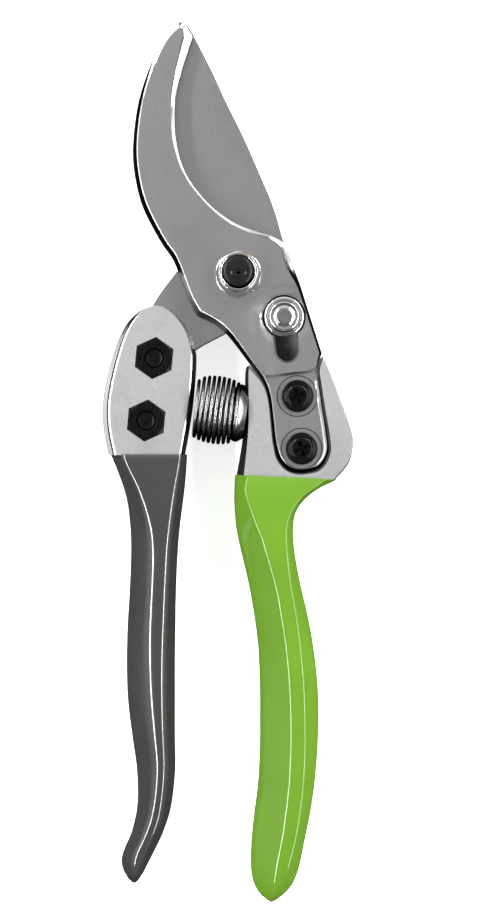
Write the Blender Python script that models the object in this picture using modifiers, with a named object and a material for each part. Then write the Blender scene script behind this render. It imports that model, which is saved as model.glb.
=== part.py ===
"""Bypass pruner, lying on its back: +X right, +Y towards the tips, +Z up.

The pivot axis is the Z axis and z = 0 is the surface the tool lies on.
Every dimension below is in millimetres; MM turns it into Blender's metres.
"""
import math

import bmesh
import bpy
from mathutils import Matrix, Vector

MM = 0.001

# ---- driving dimensions -------------------------------------------------
GAP = 0.3                       # running gap between neighbouring pieces
PAST = 1.0                      # how far a cutter runs on past the faces it cuts
MID_Z = 7.8                     # mid-plane of the handles
HEAD_Z = (3.0, 12.4)            # cast handle heads, back and front
HOOK_Z = (7.95, 12.15)          # counter-blade, back and front
BLADE_Z = (4.65, 7.65)          # cutting blade, back and front
HOOK_CHAMFER = 2.2              # height of the hook's front chamfers
TANG_Z = 11.3                   # front of the hook's tang, below the plate's front
SCREW_SEAT_Z = 11.1             # spot-faced round each tang screw
SPOT_FACE_R = 4.8
LOCK_RECESS = (5.6, 0.35)       # radius and depth of the round recess under the button
BLADE_BEVEL = 2.6               # height of the ground bevel on the blade's back
HEAD_BEVEL = 2.4                # height of the handle heads' front edge bevel
HEAD_BACK_BEVEL = 1.2

SHANK_R = 2.3                   # handle screws and bolts
HOLE_R = SHANK_R + GAP
HOOK_SCREWS = ((14.2, -29.5), (15.2, -42.1))
BLADE_BOLTS = ((-20.2, -20.4), (-22.1, -35.4))
NUT_R = 4.8                     # hexagon corner radius, 8.3 mm across flats
NUT_POCKET_R = 5.1
NUT_POCKET_Z = 9.6              # floor of the pockets in the left head's front
HOOK_NUT_Z = (3.2, 5.6)         # sunk in the right head's back
HOOK_NUT_POCKET_Z = 5.9
BLADE_NUT_Z = (9.9, 12.6)
BLADE_WASHER_R = 4.7
BLADE_WASHER_Z = (3.7, 4.35)
SCREW_HEAD_R = 3.9
BOLT_HEAD_R = 4.25
BOLT_HEAD_Z = (1.35, 3.4)
BOLT_TOP_Z = 12.3
BOLT_SOCKET_R = 2.3
NUT_TURN = math.radians(-5.4)   # how the blade nuts sit in their pockets

PIVOT_BOLT_R = 3.9
PIVOT_TOP_Z = 16.4
PIVOT_HEAD_R = 5.5
PIVOT_HEAD_Z = 2.75
PIVOT_CENTRE_MARK = (0.8, 1.0)  # radius and depth
TAB_WASHER_R = 6.1              # hexagon corner radius
TAB_WASHER_Z = (12.45, 13.1)
TAB_AT = 5.4                    # middle of its tab, out from the axis
TAB_TURN = math.radians(-38)
RING_NUT_R = 4.85
RING_NUT_Z = (13.4, 15.8)
REAR_WASHER_R = 6.0
REAR_WASHER_Z = (3.05, 4.35)
BUSH_R = (PIVOT_BOLT_R + GAP, 4.8)
PIVOT_HOLE_R = BUSH_R[1] + GAP

LOCK_AT = (11.0, -10.45)        # lock pin while the tool is locked shut
LOCK_SLIDE = Vector((0.092, -0.996))
LOCK_TRAVEL = 7.8
SLOT_END = 0.25                 # the slot's extra length below the pin's lowest place
LOCK_PIN_R = 2.3
SLOT_R = LOCK_PIN_R + GAP
LOCK_TAIL_R = 1.3               # the pin's thin end, through the slide plate
LOCK_TAIL_Z = (0.8, 3.0)
LOCK_CLIP_R = 2.6
LOCK_CLIP_Z = (0.75, 1.2)
LOCK_WASHER_R = (3.85, 4.65)
LOCK_BUTTON_R = 3.55
LOCK_PLATE_Z = (1.5, 2.7)
LOCK_PLATE_SIZE = (22.0, 7.8)
LOCK_RIDGES = 5                 # grip ridges under the plate
LOCK_RIDGE_PITCH = 1.8

GRIP_WALL = 1.2                 # vinyl sleeve
GRIP_SIDES = 24                 # points round one grip section
GRIP_SQUARENESS = 2.5           # superellipse exponent, 2 is an ellipse
GRIP_TILTED = 3                 # stations over which the slope of a grip's rim fades
BAR_END_GAP = 1.0               # from the cast bar's end to the bottom of the sleeve
BAR_RUN_UP = (3.0, 2.5)         # how far the left and right bars reach into their heads

SPRING_ENDS = ((-11.05, -31.95), (1.42, -33.7))  # where its axis meets the heads
SPRING_Z = 8.15                 # height of that axis
SPRING_WIRE_R = 0.46
SPRING_R = (6.0, 7.55)          # wire centre line at the ends and the middle
SPRING_TURNS = 9
SPRING_STEPS = 16               # points in one turn
SPRING_BULGE = 0.45             # below 1 the barrel fills out quickly from its ends
SPRING_STUD_R = 3.8
SPRING_STUD_Z = (-2.0, 2.4)     # along the spring's axis, from the head's face
SPRING_SLACK = 0.3              # the right head's side is not quite square to the spring

ROUND = 28                      # sides of a round piece
BIG_ROUND = 32                  # sides of the larger round pieces and holes
STEP = 1.9                      # spacing of points along a curved outline
SAME = 0.01                     # points closer than this are one point
MITRE_LIMIT = 0.4               # keeps an inset sharp corner from running away
SLOT_ARC = 8                    # steps round each end of the keyhole slot
SHARP = math.radians(35)        # edges steeper than this are drawn crisp

# ---- outlines: runs of (x, y, edge width); a corner joins two runs ------
# The third number is the width of the chamfer or bevel at that point.
HOOK_RUNS = (
    # back of the crescent, from the tip down to the sharp lower left corner
    ((-14.8, 60.5, 0.6), (-18.4, 56.6, 1.1), (-21.5, 50.0, 1.4), (-24.1, 41.9, 1.4),
     (-25.4, 32.7, 1.4), (-25.2, 25.0, 1.3), (-23.2, 16.5, 1.3), (-18.9, 8.1, 1.3),
     (-15.3, 3.1, 1.2), (-12.3, -5.4, 1.3), (-10.1, -9.9, 1.5)),
    # lower left edge, then round the tang, which nearly fills its recess
    ((-3.7, -13.6, 1.2), (2.6, -21.5, 1.0), (5.75, -25.8, 1.0), (7.2, -29.7, 1.1),
     (7.9, -35.0, 1.1), (8.5, -40.7, 1.1), (9.6, -44.85, 1.3), (12.05, -47.4, 1.5),
     (15.4, -48.1, 1.5), (19.65, -46.9, 1.5), (21.8, -43.2, 1.5), (21.6, -38.75, 1.5),
     (20.55, -32.5, 1.4), (19.65, -26.6, 1.3), (19.1, -22.8, 1.0), (20.2, -19.1, 0.6)),
    # right edge of the plate
    ((16.2, -6.4, 1.0), (13.8, 0.8, 1.0), (10.9, 7.25, 0.8)),
    # hollow shear edge, back up to the tip
    ((8.4, 8.9, 0.9), (3.0, 10.6, 1.0), (-1.2, 12.4, 0.9), (-5.4, 15.3, 0.9),
     (-8.8, 18.7, 0.9), (-11.9, 22.9, 0.9), (-14.0, 27.9, 0.9), (-15.1, 34.0, 1.1),
     (-15.1, 41.7, 1.4), (-14.0, 47.2, 1.8), (-12.5, 52.3, 1.8), (-10.9, 57.0, 1.0)),
    ((-12.3, 59.7, 0.5),),
)
# the part of the hook's front that is pressed lower, with the slope's width
TANG_STEP_RUNS = (
    ((3.0, -24.9, 0.9), (7.75, -24.3, 0.9), (13.3, -23.6, 0.9), (17.5, -23.0, 0.9),
     (19.0, -21.2, 0.9), (19.4, -17.6, 0.9)),
    ((28.0, -17.6, 0.0),),
    ((28.0, -52.0, 0.0),),
    ((3.0, -52.0, 0.0), (3.0, -24.9, 0.9)),
)
BLADE_RUNS = (
    # spine, from the tip to the corner beside the hook
    ((-11.0, 58.2, 0.3), (-6.5, 49.4, 0.3), (-3.1, 42.0, 0.3), (1.1, 33.5, 0.3),
     (5.0, 24.7, 0.3), (8.5, 16.2, 0.3), (11.0, 7.6, 0.3)),
    # round heel, then the lower edge of the tang down to the inner bolt end
    ((12.3, 0.0, 0.3), (10.65, -6.15, 0.3), (6.15, -10.65, 0.3), (0.5, -12.3, 0.3),
     (-4.0, -14.7, 0.3), (-10.0, -18.0, 0.3), (-13.3, -21.4, 0.3), (-15.1, -26.8, 0.3),
     (-16.6, -35.7, 0.3), (-18.7, -39.8, 0.3), (-22.6, -41.1, 0.3), (-26.4, -39.3, 0.3),
     (-27.9, -35.0, 0.3), (-27.1, -27.0, 0.3), (-25.8, -18.4, 0.3), (-23.6, -11.7, 0.3)),
    # straight upper edge of the tang, up to the hook
    ((-20.4, -6.9, 0.3), (-18.6, -4.1, 0.3), (-14.8, 0.9, 0.3)),
    # cutting edge, hidden behind the hook, with the ground bevel's width
    ((-12.9, 4.7, 0.6), (-13.7, 11.2, 1.8), (-16.4, 19.3, 3.6), (-18.4, 27.4, 4.2),
     (-19.0, 35.5, 4.2), (-18.3, 43.6, 3.8), (-16.5, 51.2, 2.4), (-14.1, 57.3, 1.0),
     (-12.4, 60.5, 0.3)),
)
LEFT_HEAD_RUNS = (
    ((-20.5, -7.7, 1.0), (-23.3, -8.7, 1.3), (-26.2, -11.2, 1.6), (-28.3, -14.6, 1.8),
     (-30.0, -19.0, 1.9), (-31.6, -24.9, 1.9), (-32.6, -31.0, 1.9), (-32.5, -37.0, 1.7),
     (-31.3, -43.4, 1.2)),
    ((-13.0, -43.4, 0.9),),
    ((-11.4, -34.5, 0.9), (-10.7, -28.7, 0.9), (-10.2, -21.4, 0.9), (-10.5, -17.8, 0.9),
     (-12.2, -13.3, 0.9), (-15.1, -9.9, 0.9), (-18.0, -8.1, 0.9), (-20.5, -7.7, 1.0)),
)
RIGHT_HEAD_RUNS = (
    ((22.3, -24.5, 0.7), (24.9, -31.3, 1.1), (27.1, -36.8, 1.3), (27.8, -40.6, 1.3),
     (26.8, -45.4, 1.1), (23.4, -49.3, 0.6)),
    ((-0.5, -48.2, 1.2),),
    ((1.15, -38.7, 1.2), (1.6, -30.0, 1.0), (1.7, -23.6, 0.9), (2.5, -21.9, 0.8),
     (4.2, -22.2, 0.4)),
    # concave relief under the hook, where the lock pin comes down
    ((7.3, -24.1, 0.3), (12.4, -25.3, 0.3), (17.2, -23.4, 0.3), (20.3, -19.7, 0.3)),
)
# recess for the hook's tang in the right head, a little wider than the tang
HOOK_POCKET_RUNS = (
    ((-2.0, -14.5, 0), (2.0, -21.9, 0), (5.5, -26.3, 0), (6.9, -29.8, 0),
     (7.6, -35.0, 0), (8.2, -40.8, 0), (9.3, -45.0, 0), (11.9, -47.7, 0),
     (15.4, -48.4, 0), (19.8, -47.2, 0), (22.1, -43.3, 0), (21.9, -38.7, 0),
     (20.85, -32.5, 0), (19.95, -26.6, 0), (19.6, -23.0, 0), (21.2, -17.8, 0)),
    ((10.0, -12.0, 0), (-2.0, -14.5, 0)),
)
# grip stations from the head downwards: y, left x, right x, half thickness
LEFT_GRIP = (
    (-43.7, -30.8, -12.4, 5.25), (-48.6, -28.8, -12.7, 6.0), (-54.3, -27.0, -13.3, 6.7),
    (-61.4, -26.1, -14.2, 7.3), (-68.4, -25.95, -14.75, 7.6), (-77.0, -26.3, -15.1, 7.8),
    (-85.5, -26.8, -15.25, 7.8), (-94.0, -26.95, -15.35, 7.8), (-102.5, -26.7, -15.35, 7.8),
    (-111.7, -25.6, -15.35, 7.6), (-118.8, -24.6, -15.25, 7.3), (-125.3, -24.3, -15.75, 6.9),
    (-130.2, -24.7, -16.6, 6.5), (-135.2, -25.95, -18.3, 6.1),
    (-138.7, -27.5, -19.95, 5.7), (-141.6, -28.3, -21.4, 5.2), (-144.4, -27.7, -22.8, 4.0),
    (-146.2, -26.6, -23.9, 2.4), (-147.0, -25.7, -24.7, 0.9),
)
RIGHT_GRIP = (
    (-49.15, -0.8, 23.7, 5.25), (-51.15, -0.9, 19.95, 5.9), (-53.85, -1.0, 16.45, 6.4),
    (-57.4, -0.85, 13.9, 6.8), (-61.6, -0.45, 13.25, 7.1), (-67.1, 0.7, 13.6, 7.4),
    (-74.8, 2.5, 15.0, 7.7), (-82.4, 3.85, 16.75, 7.8), (-90.1, 4.8, 18.15, 7.8),
    (-99.1, 5.2, 19.15, 7.8), (-107.4, 5.25, 19.35, 7.8), (-114.4, 5.2, 19.15, 7.8),
    (-122.7, 4.8, 18.45, 7.8), (-129.6, 3.95, 17.45, 7.6), (-136.6, 3.2, 16.05, 7.3),
    (-143.5, 3.05, 14.6, 6.6), (-147.7, 3.95, 12.9, 5.3), (-150.1, 5.55, 10.7, 3.6),
    (-151.2, 6.85, 9.25, 1.9), (-151.7, 7.65, 8.45, 0.8),
)
RIGHT_GRIP_TILT = -0.045        # slope of the green grip's upper rim
LEFT_BAR_STATIONS = 13          # how far the cast bar runs down inside the sleeve
RIGHT_BAR_STATIONS = 15

# ---- materials: colour, metallic, roughness -----------------------------
MATERIALS = {
    "hook_steel": ((0.33, 0.33, 0.335), 1.0, 0.38),
    "blade_steel": ((0.33, 0.33, 0.335), 1.0, 0.36),
    "cast_aluminium": ((0.56, 0.56, 0.57), 1.0, 0.42),
    "green_vinyl": ((0.2, 0.49, 0.04), 0.0, 0.3),
    "gray_vinyl": ((0.09, 0.09, 0.092), 0.0, 0.32),
    "black_screw": ((0.02, 0.02, 0.021), 0.7, 0.35),
    "black_bolt": ((0.022, 0.022, 0.023), 0.7, 0.38),
    "black_nut": ((0.025, 0.025, 0.026), 0.7, 0.4),
    "black_plastic": ((0.03, 0.03, 0.03), 0.0, 0.5),
    "chrome": ((0.8, 0.8, 0.8), 1.0, 0.12),
    "zinc_washer": ((0.6, 0.6, 0.58), 1.0, 0.3),
    "bronze_bush": ((0.45, 0.32, 0.16), 1.0, 0.4),
    "spring_steel": ((0.5, 0.5, 0.51), 1.0, 0.2),
}


# ---- scene helpers ------------------------------------------------------
def clear_scene():
    for item in list(bpy.data.objects):
        bpy.data.objects.remove(item, do_unlink=True)


def collection(name):
    made = bpy.data.collections.new(name)
    bpy.context.scene.collection.children.link(made)
    return made


def material(name):
    found = bpy.data.materials.get(name)
    if found:
        return found
    colour, metallic, roughness = MATERIALS[name]
    made = bpy.data.materials.new(name)
    made.use_nodes = True
    shader = made.node_tree.nodes["Principled BSDF"]
    shader.inputs["Base Color"].default_value = (*colour, 1.0)
    shader.inputs["Metallic"].default_value = metallic
    shader.inputs["Roughness"].default_value = roughness
    return made


def place(name, mesh, finish=None):
    """Link a mesh as a finished part, or as a hidden cutter without a finish."""
    item = bpy.data.objects.new(name, mesh)
    if finish:
        PARTS.objects.link(item)
        mesh.materials.append(material(finish))
        mesh.shade_smooth()
        mesh.set_sharp_from_angle(angle=SHARP)
    else:
        CUTTERS.objects.link(item)
        item.hide_render = True
        item.display_type = "WIRE"
    return item


def boolean(target, other, operation="DIFFERENCE"):
    step = target.modifiers.new(other.name, "BOOLEAN")
    step.operation = operation
    step.solver = "EXACT"
    step.object = other


def move(item, x, y, z=0.0, turn=0.0):
    item.location = (x * MM, y * MM, z * MM)
    item.rotation_euler[2] = turn
    return item


# ---- outlines -----------------------------------------------------------
def spline_point(a, b, c, d, t):
    """Catmull-Rom between b and c; works on any number of values a point."""
    return tuple(
        0.5 * (2 * q + (r - p) * t + (2 * p - 5 * q + 4 * r - s) * t * t
               + (3 * q - p - 3 * r + s) * t ** 3)
        for p, q, r, s in zip(a, b, c, d))


def smooth_run(points):
    """Points along one open smooth run, without its first point."""
    first = tuple(2 * p - q for p, q in zip(points[0], points[1]))
    last = tuple(2 * p - q for p, q in zip(points[-1], points[-2]))
    ring = [first, *points, last]
    made = []
    for i in range(1, len(points)):
        length = math.dist(ring[i][:2], ring[i + 1][:2])
        count = max(1, round(length / STEP))
        if len(points) == 2:
            count = 1
        for k in range(1, count + 1):
            made.append(spline_point(ring[i - 1], ring[i], ring[i + 1], ring[i + 2], k / count))
    return made


def outline(runs):
    """Closed outline of (x, y, width): each run starts where the last one ended."""
    made = []
    start = runs[-1][-1]
    for run in runs:
        points = list(run)
        if math.dist(start[:2], points[0][:2]) > SAME:
            points.insert(0, start)
        made += smooth_run(points) if len(points) > 1 else []
        start = run[-1]
    area = sum(a[0] * b[1] - b[0] * a[1] for a, b in zip(made, made[1:] + made[:1]))
    return made if area > 0 else made[::-1]


def inset(points):
    """Move each point of a counter-clockwise outline inwards by its own width."""
    made = []
    count = len(points)
    for i, (x, y, width) in enumerate(points):
        before = Vector(points[i - 1][:2])
        after = Vector(points[(i + 1) % count][:2])
        here = Vector((x, y))
        one = (here - before).normalized()
        two = (after - here).normalized()
        inward = Vector((-one.y - two.y, one.x + two.x))
        inward /= max(MITRE_LIMIT, 1.0 + one.dot(two))
        made.append(tuple(here + inward * width))
    return made


# ---- solids -------------------------------------------------------------
def loft(name, rings, finish=None):
    """Solid skin through rings of equally many points, closed by two end faces."""
    mesh = bpy.data.meshes.new(name)
    shape = bmesh.new()
    loops = [[shape.verts.new(Vector(point) * MM) for point in ring] for ring in rings]
    for low, high in zip(loops, loops[1:]):
        for i in range(len(low)):
            k = (i + 1) % len(low)
            shape.faces.new((low[i], low[k], high[k], high[i]))
    shape.faces.new(loops[0][::-1])
    shape.faces.new(loops[-1])
    bmesh.ops.recalc_face_normals(shape, faces=shape.faces)
    shape.to_mesh(mesh)
    shape.free()
    return place(name, mesh, finish)


def plate(name, runs, z_range, finish=None, top=0.0, bottom=0.0):
    """Flat piece; top and bottom are the heights of its edge bevels."""
    points = outline(runs)
    full = [point[:2] for point in points]
    z_low, z_high = z_range
    levels = []
    if bottom:
        levels.append((inset(points), z_low))
    levels.append((full, z_low + bottom))
    levels.append((full, z_high - top))
    if top:
        levels.append((inset(points), z_high))
    return loft(name, [[(x, y, z) for x, y in ring] for ring, z in levels], finish)


def lathe(name, profile, finish=None, sides=ROUND, ring=False):
    """Turned piece; the profile of (radius, z) runs down its outer side."""
    mesh = bpy.data.meshes.new(name)
    count = len(profile)
    edges = [(i, i + 1) for i in range(count - 1)]
    if ring:
        edges.append((count - 1, 0))
    mesh.from_pydata([(r * MM, 0, z * MM) for r, z in profile], edges, [])
    item = place(name, mesh, finish)
    turn = item.modifiers.new("turn", "SCREW")
    turn.steps = sides
    turn.render_steps = sides
    turn.use_merge_vertices = True
    turn.merge_threshold = 0.00001
    return item


def prism(name, radius, z_range, sides, finish=None):
    """Upright regular prism or cylinder; radius is measured to its corners."""
    mesh = bpy.data.meshes.new(name)
    shape = bmesh.new()
    low, high = z_range
    bmesh.ops.create_cone(
        shape, cap_ends=True, segments=sides, radius1=radius * MM, radius2=radius * MM,
        depth=(high - low) * MM, matrix=Matrix.Translation((0, 0, (low + high) / 2 * MM)))
    shape.to_mesh(mesh)
    shape.free()
    return place(name, mesh, finish)


def block(name, size, centre, finish=None):
    mesh = bpy.data.meshes.new(name)
    shape = bmesh.new()
    at = Matrix.Translation(Vector(centre) * MM) @ Matrix.Diagonal((*(Vector(size) * MM), 1.0))
    bmesh.ops.create_cube(shape, size=1.0, matrix=at)
    shape.to_mesh(mesh)
    shape.free()
    return place(name, mesh, finish)


def through(z_range):
    """The range of a cutter that goes right through a piece."""
    return z_range[0] - PAST, z_range[1] + PAST


def drill(target, at, radius, z_range, sides=ROUND, turn=0.0):
    name = f"{target.name}_cut_{len(target.modifiers)}"
    cutter = move(prism(name, radius, z_range, sides), *at, turn=turn)
    boolean(target, cutter)


def washer(name, radii, z_range, finish):
    inner, outer = radii
    low, high = z_range
    return lathe(name, [(inner, high), (outer, high), (outer, low), (inner, low)], finish,
                 ring=True)


# ---- the two blades -----------------------------------------------------
def slot_runs():
    """Keyhole slot of the lock: two straight sides and two half-round ends."""
    along = LOCK_SLIDE.normalized()
    across = Vector((-along.y, along.x))
    start = Vector(LOCK_AT)
    ends = ((start + along * (LOCK_TRAVEL + SLOT_END), 1.0), (start, -1.0))
    points = []
    for centre, sign in ends:
        for i in range(SLOT_ARC + 1):
            angle = math.pi * (i / SLOT_ARC - 0.5)
            offset = along * math.cos(angle) + across * math.sin(angle)
            points.append((*(centre + offset * SLOT_R * sign), 0.0))
    return tuple((point,) for point in points)


def make_hook():
    hook = plate("hook_blade", HOOK_RUNS, HOOK_Z, "hook_steel", top=HOOK_CHAMFER)
    whole = through(HOOK_Z)
    front = HOOK_Z[1] + PAST
    drill(hook, (0, 0), PIVOT_HOLE_R, whole, sides=BIG_ROUND)
    boolean(hook, plate("hook_slot_cut", slot_runs(), whole))
    boolean(hook, plate("hook_step_cut", TANG_STEP_RUNS, (TANG_Z, front), bottom=PAST))
    radius, depth = LOCK_RECESS
    drill(hook, LOCK_AT, radius, (HOOK_Z[1] - depth, front), sides=BIG_ROUND)
    for at in HOOK_SCREWS:
        drill(hook, at, SPOT_FACE_R, (SCREW_SEAT_Z, front))
        drill(hook, at, HOLE_R, whole)


def make_blade():
    blade = plate("cutting_blade", BLADE_RUNS, BLADE_Z, "blade_steel", bottom=BLADE_BEVEL)
    drill(blade, (0, 0), PIVOT_HOLE_R, through(BLADE_Z), sides=BIG_ROUND)
    for at in BLADE_BOLTS:
        drill(blade, at, HOLE_R, through(BLADE_Z))


# ---- handles ------------------------------------------------------------
def section(station, shrink, tilt):
    """One closed cross-section of a grip, drawn in by shrink all round."""
    y, left, right, half = station
    centre = (left + right) / 2
    wide = (right - left) / 2 - shrink
    tall = half - shrink
    power = 2 / GRIP_SQUARENESS
    ring = []
    for i in range(GRIP_SIDES):
        angle = 2 * math.pi * (i + 0.5) / GRIP_SIDES
        x = wide * math.copysign(abs(math.cos(angle)) ** power, math.cos(angle))
        z = tall * math.copysign(abs(math.sin(angle)) ** power, math.sin(angle))
        ring.append((centre + x, y + tilt * x, MID_Z + z))
    return ring


def tilts(stations, tilt):
    """The rim's slope, fading to nothing over the first stations."""
    return [tilt * max(0.0, 1.0 - i / GRIP_TILTED) for i in range(len(stations))]


def make_grip(name, stations, bar_count, tilt, finish):
    """Closed sleeve with a blind hole: down the outside, then back up inside."""
    slope = tilts(stations, tilt)
    outer = [section(s, 0.0, t) for s, t in zip(stations, slope)]
    hole = [section(s, GRIP_WALL, t) for s, t in zip(stations, slope)][:bar_count]
    deepest = [(x, y - BAR_END_GAP, z) for x, y, z in hole[-1]]
    return loft(name, outer[::-1] + hole + [deepest], finish)


def make_bar(name, stations, bar_count, tilt, run_up):
    """The cast bar inside the sleeve, reaching run_up into the head above."""
    slope = tilts(stations, tilt)
    shrink = GRIP_WALL + GAP
    rings = [section(s, shrink, t) for s, t in zip(stations, slope)][:bar_count]
    above = [(x, y + run_up, z) for x, y, z in rings[0]]
    return loft(name, [above] + rings)


def add_spring_stud(head, start, direction):
    """Short round stud inside one end of the spring."""
    stud = prism(f"{head.name}_stud", SPRING_STUD_R, SPRING_STUD_Z, SPRING_STEPS)
    stud.location = Vector((*start, SPRING_Z)) * MM
    stud.rotation_mode = "QUATERNION"
    stud.rotation_quaternion = Vector((*direction, 0)).to_track_quat("Z", "Y")
    boolean(head, stud, "UNION")


def spring_axis():
    start, end = (Vector(point) for point in SPRING_ENDS)
    return start, end, (end - start).normalized()


def make_left_handle():
    core = plate("gray_handle_core", LEFT_HEAD_RUNS, HEAD_Z, "cast_aluminium",
                 top=HEAD_BEVEL, bottom=HEAD_BACK_BEVEL)
    bar = make_bar("gray_bar_form", LEFT_GRIP, LEFT_BAR_STATIONS, 0.0, BAR_RUN_UP[0])
    boolean(core, bar, "UNION")
    start, _, along = spring_axis()
    add_spring_stud(core, start, along)
    tang = [(x, y, -GAP) for x, y, _ in outline(BLADE_RUNS) if y < 2.0 and x < 0.0]
    wide = [(*point, 0.0) for point in inset(tang)]
    slot_z = (HEAD_Z[0] - PAST, HOOK_Z[0])
    boolean(core, plate("gray_tang_cut", tuple((p,) for p in wide), slot_z))
    for at in BLADE_BOLTS:
        drill(core, at, HOLE_R, through(HEAD_Z))
        pocket_z = (NUT_POCKET_Z, HEAD_Z[1] + PAST)
        drill(core, at, NUT_POCKET_R, pocket_z, sides=6, turn=NUT_TURN)
    make_grip("gray_grip", LEFT_GRIP, LEFT_BAR_STATIONS, 0.0, "gray_vinyl")


def make_right_handle():
    core = plate("green_handle_core", RIGHT_HEAD_RUNS, HEAD_Z, "cast_aluminium",
                 top=HEAD_BEVEL, bottom=HEAD_BACK_BEVEL)
    bar = make_bar("green_bar_form", RIGHT_GRIP, RIGHT_BAR_STATIONS, RIGHT_GRIP_TILT,
                   BAR_RUN_UP[1])
    boolean(core, bar, "UNION")
    _, end, along = spring_axis()
    add_spring_stud(core, end, -along)
    pocket_z = (BLADE_Z[1], HEAD_Z[1] + PAST)
    boolean(core, plate("green_tang_cut", HOOK_POCKET_RUNS, pocket_z))
    for at in HOOK_SCREWS:
        drill(core, at, HOLE_R, through(HEAD_Z))
        drill(core, at, NUT_R + GAP, (HEAD_Z[0] - PAST, HOOK_NUT_POCKET_Z), sides=6)
    make_grip("green_grip", RIGHT_GRIP, RIGHT_BAR_STATIONS, RIGHT_GRIP_TILT, "green_vinyl")


# ---- screws, bolts and nuts ---------------------------------------------
def hex_nut(name, at, z_range, turn=0.0):
    nut = move(prism(name, NUT_R, z_range, 6, "black_nut"), *at, turn=turn)
    drill(nut, at, HOLE_R, through(z_range))
    return nut


def make_hook_screws():
    """Low round-head screws through the tang, with nuts sunk in the back."""
    seat = SCREW_SEAT_Z + GAP
    end = HOOK_NUT_Z[0]
    profile = [(0, seat + 1.75), (1.8, seat + 1.6), (3.2, seat + 1.0),
               (SCREW_HEAD_R, seat + 0.35), (SCREW_HEAD_R, seat), (SHANK_R, seat),
               (SHANK_R, end), (0, end)]
    cross_size = (4.0, 0.9, 1.2)
    cross_turn = math.radians(20)
    for at, which in zip(HOOK_SCREWS, ("upper", "lower")):
        screw = move(lathe(f"hook_screw_{which}", profile, "black_screw"), *at)
        for i in range(2):
            arm = block(f"hook_screw_{which}_cross_{i}", cross_size, (0, 0, seat + 1.6))
            boolean(screw, move(arm, *at, turn=cross_turn + i * math.pi / 2))
        hex_nut(f"hook_nut_{which}", at, HOOK_NUT_Z)


def make_blade_bolts():
    """Socket-head bolts from the back, with nuts sunk in the left head's front."""
    low, high = BOLT_HEAD_Z
    edge = 0.4
    profile = [(0, BOLT_TOP_Z), (SHANK_R - edge, BOLT_TOP_Z), (SHANK_R, BOLT_TOP_Z - edge),
               (SHANK_R, high), (BOLT_HEAD_R, high), (BOLT_HEAD_R, low + edge),
               (BOLT_HEAD_R - edge, low), (0, low)]
    socket_z = (low - PAST, low + 1.45)
    for at, which in zip(BLADE_BOLTS, ("upper", "lower")):
        bolt = move(lathe(f"blade_bolt_{which}", profile, "black_bolt"), *at)
        drill(bolt, at, BOLT_SOCKET_R, socket_z, sides=6)
        under = washer(f"blade_washer_{which}", (HOLE_R, BLADE_WASHER_R), BLADE_WASHER_Z,
                       "zinc_washer")
        move(under, *at)
        hex_nut(f"blade_nut_{which}", at, BLADE_NUT_Z, NUT_TURN)


# ---- pivot --------------------------------------------------------------
def make_pivot():
    """Flat-headed bolt, bush, rear washer, hexagonal tab washer and ring nut."""
    edge = 0.6
    bolt = lathe("pivot_bolt", [
        (0, PIVOT_TOP_Z), (PIVOT_BOLT_R - edge, PIVOT_TOP_Z),
        (PIVOT_BOLT_R, PIVOT_TOP_Z - edge), (PIVOT_BOLT_R, PIVOT_HEAD_Z),
        (PIVOT_HEAD_R, PIVOT_HEAD_Z), (PIVOT_HEAD_R, edge), (PIVOT_HEAD_R - edge, 0), (0, 0)],
        "black_bolt", sides=BIG_ROUND)
    radius, depth = PIVOT_CENTRE_MARK
    drill(bolt, (0, 0), radius, (PIVOT_TOP_Z - depth, PIVOT_TOP_Z + PAST), sides=12)
    washer("pivot_bush", BUSH_R, (BLADE_Z[0], HOOK_Z[1]), "bronze_bush")
    washer("pivot_washer_rear", (BUSH_R[0], REAR_WASHER_R), REAR_WASHER_Z, "zinc_washer")
    low, high = TAB_WASHER_Z
    tab_washer = prism("pivot_washer_front", TAB_WASHER_R, TAB_WASHER_Z, 6, "chrome")
    tab = block("pivot_tab_form", (1.6, 1.6, high - low), (TAB_AT, 0, (low + high) / 2))
    boolean(tab_washer, move(tab, 0, 0, turn=TAB_TURN), "UNION")
    drill(tab_washer, (0, 0), BUSH_R[0], through(TAB_WASHER_Z))
    low, high = RING_NUT_Z
    lathe("pivot_ring_nut", [
        (BUSH_R[0], high - 0.3), (4.5, high), (RING_NUT_R, high - 0.4), (RING_NUT_R, low + 0.4),
        (4.6, low), (BUSH_R[0], low)], "chrome", sides=BIG_ROUND, ring=True)


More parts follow.
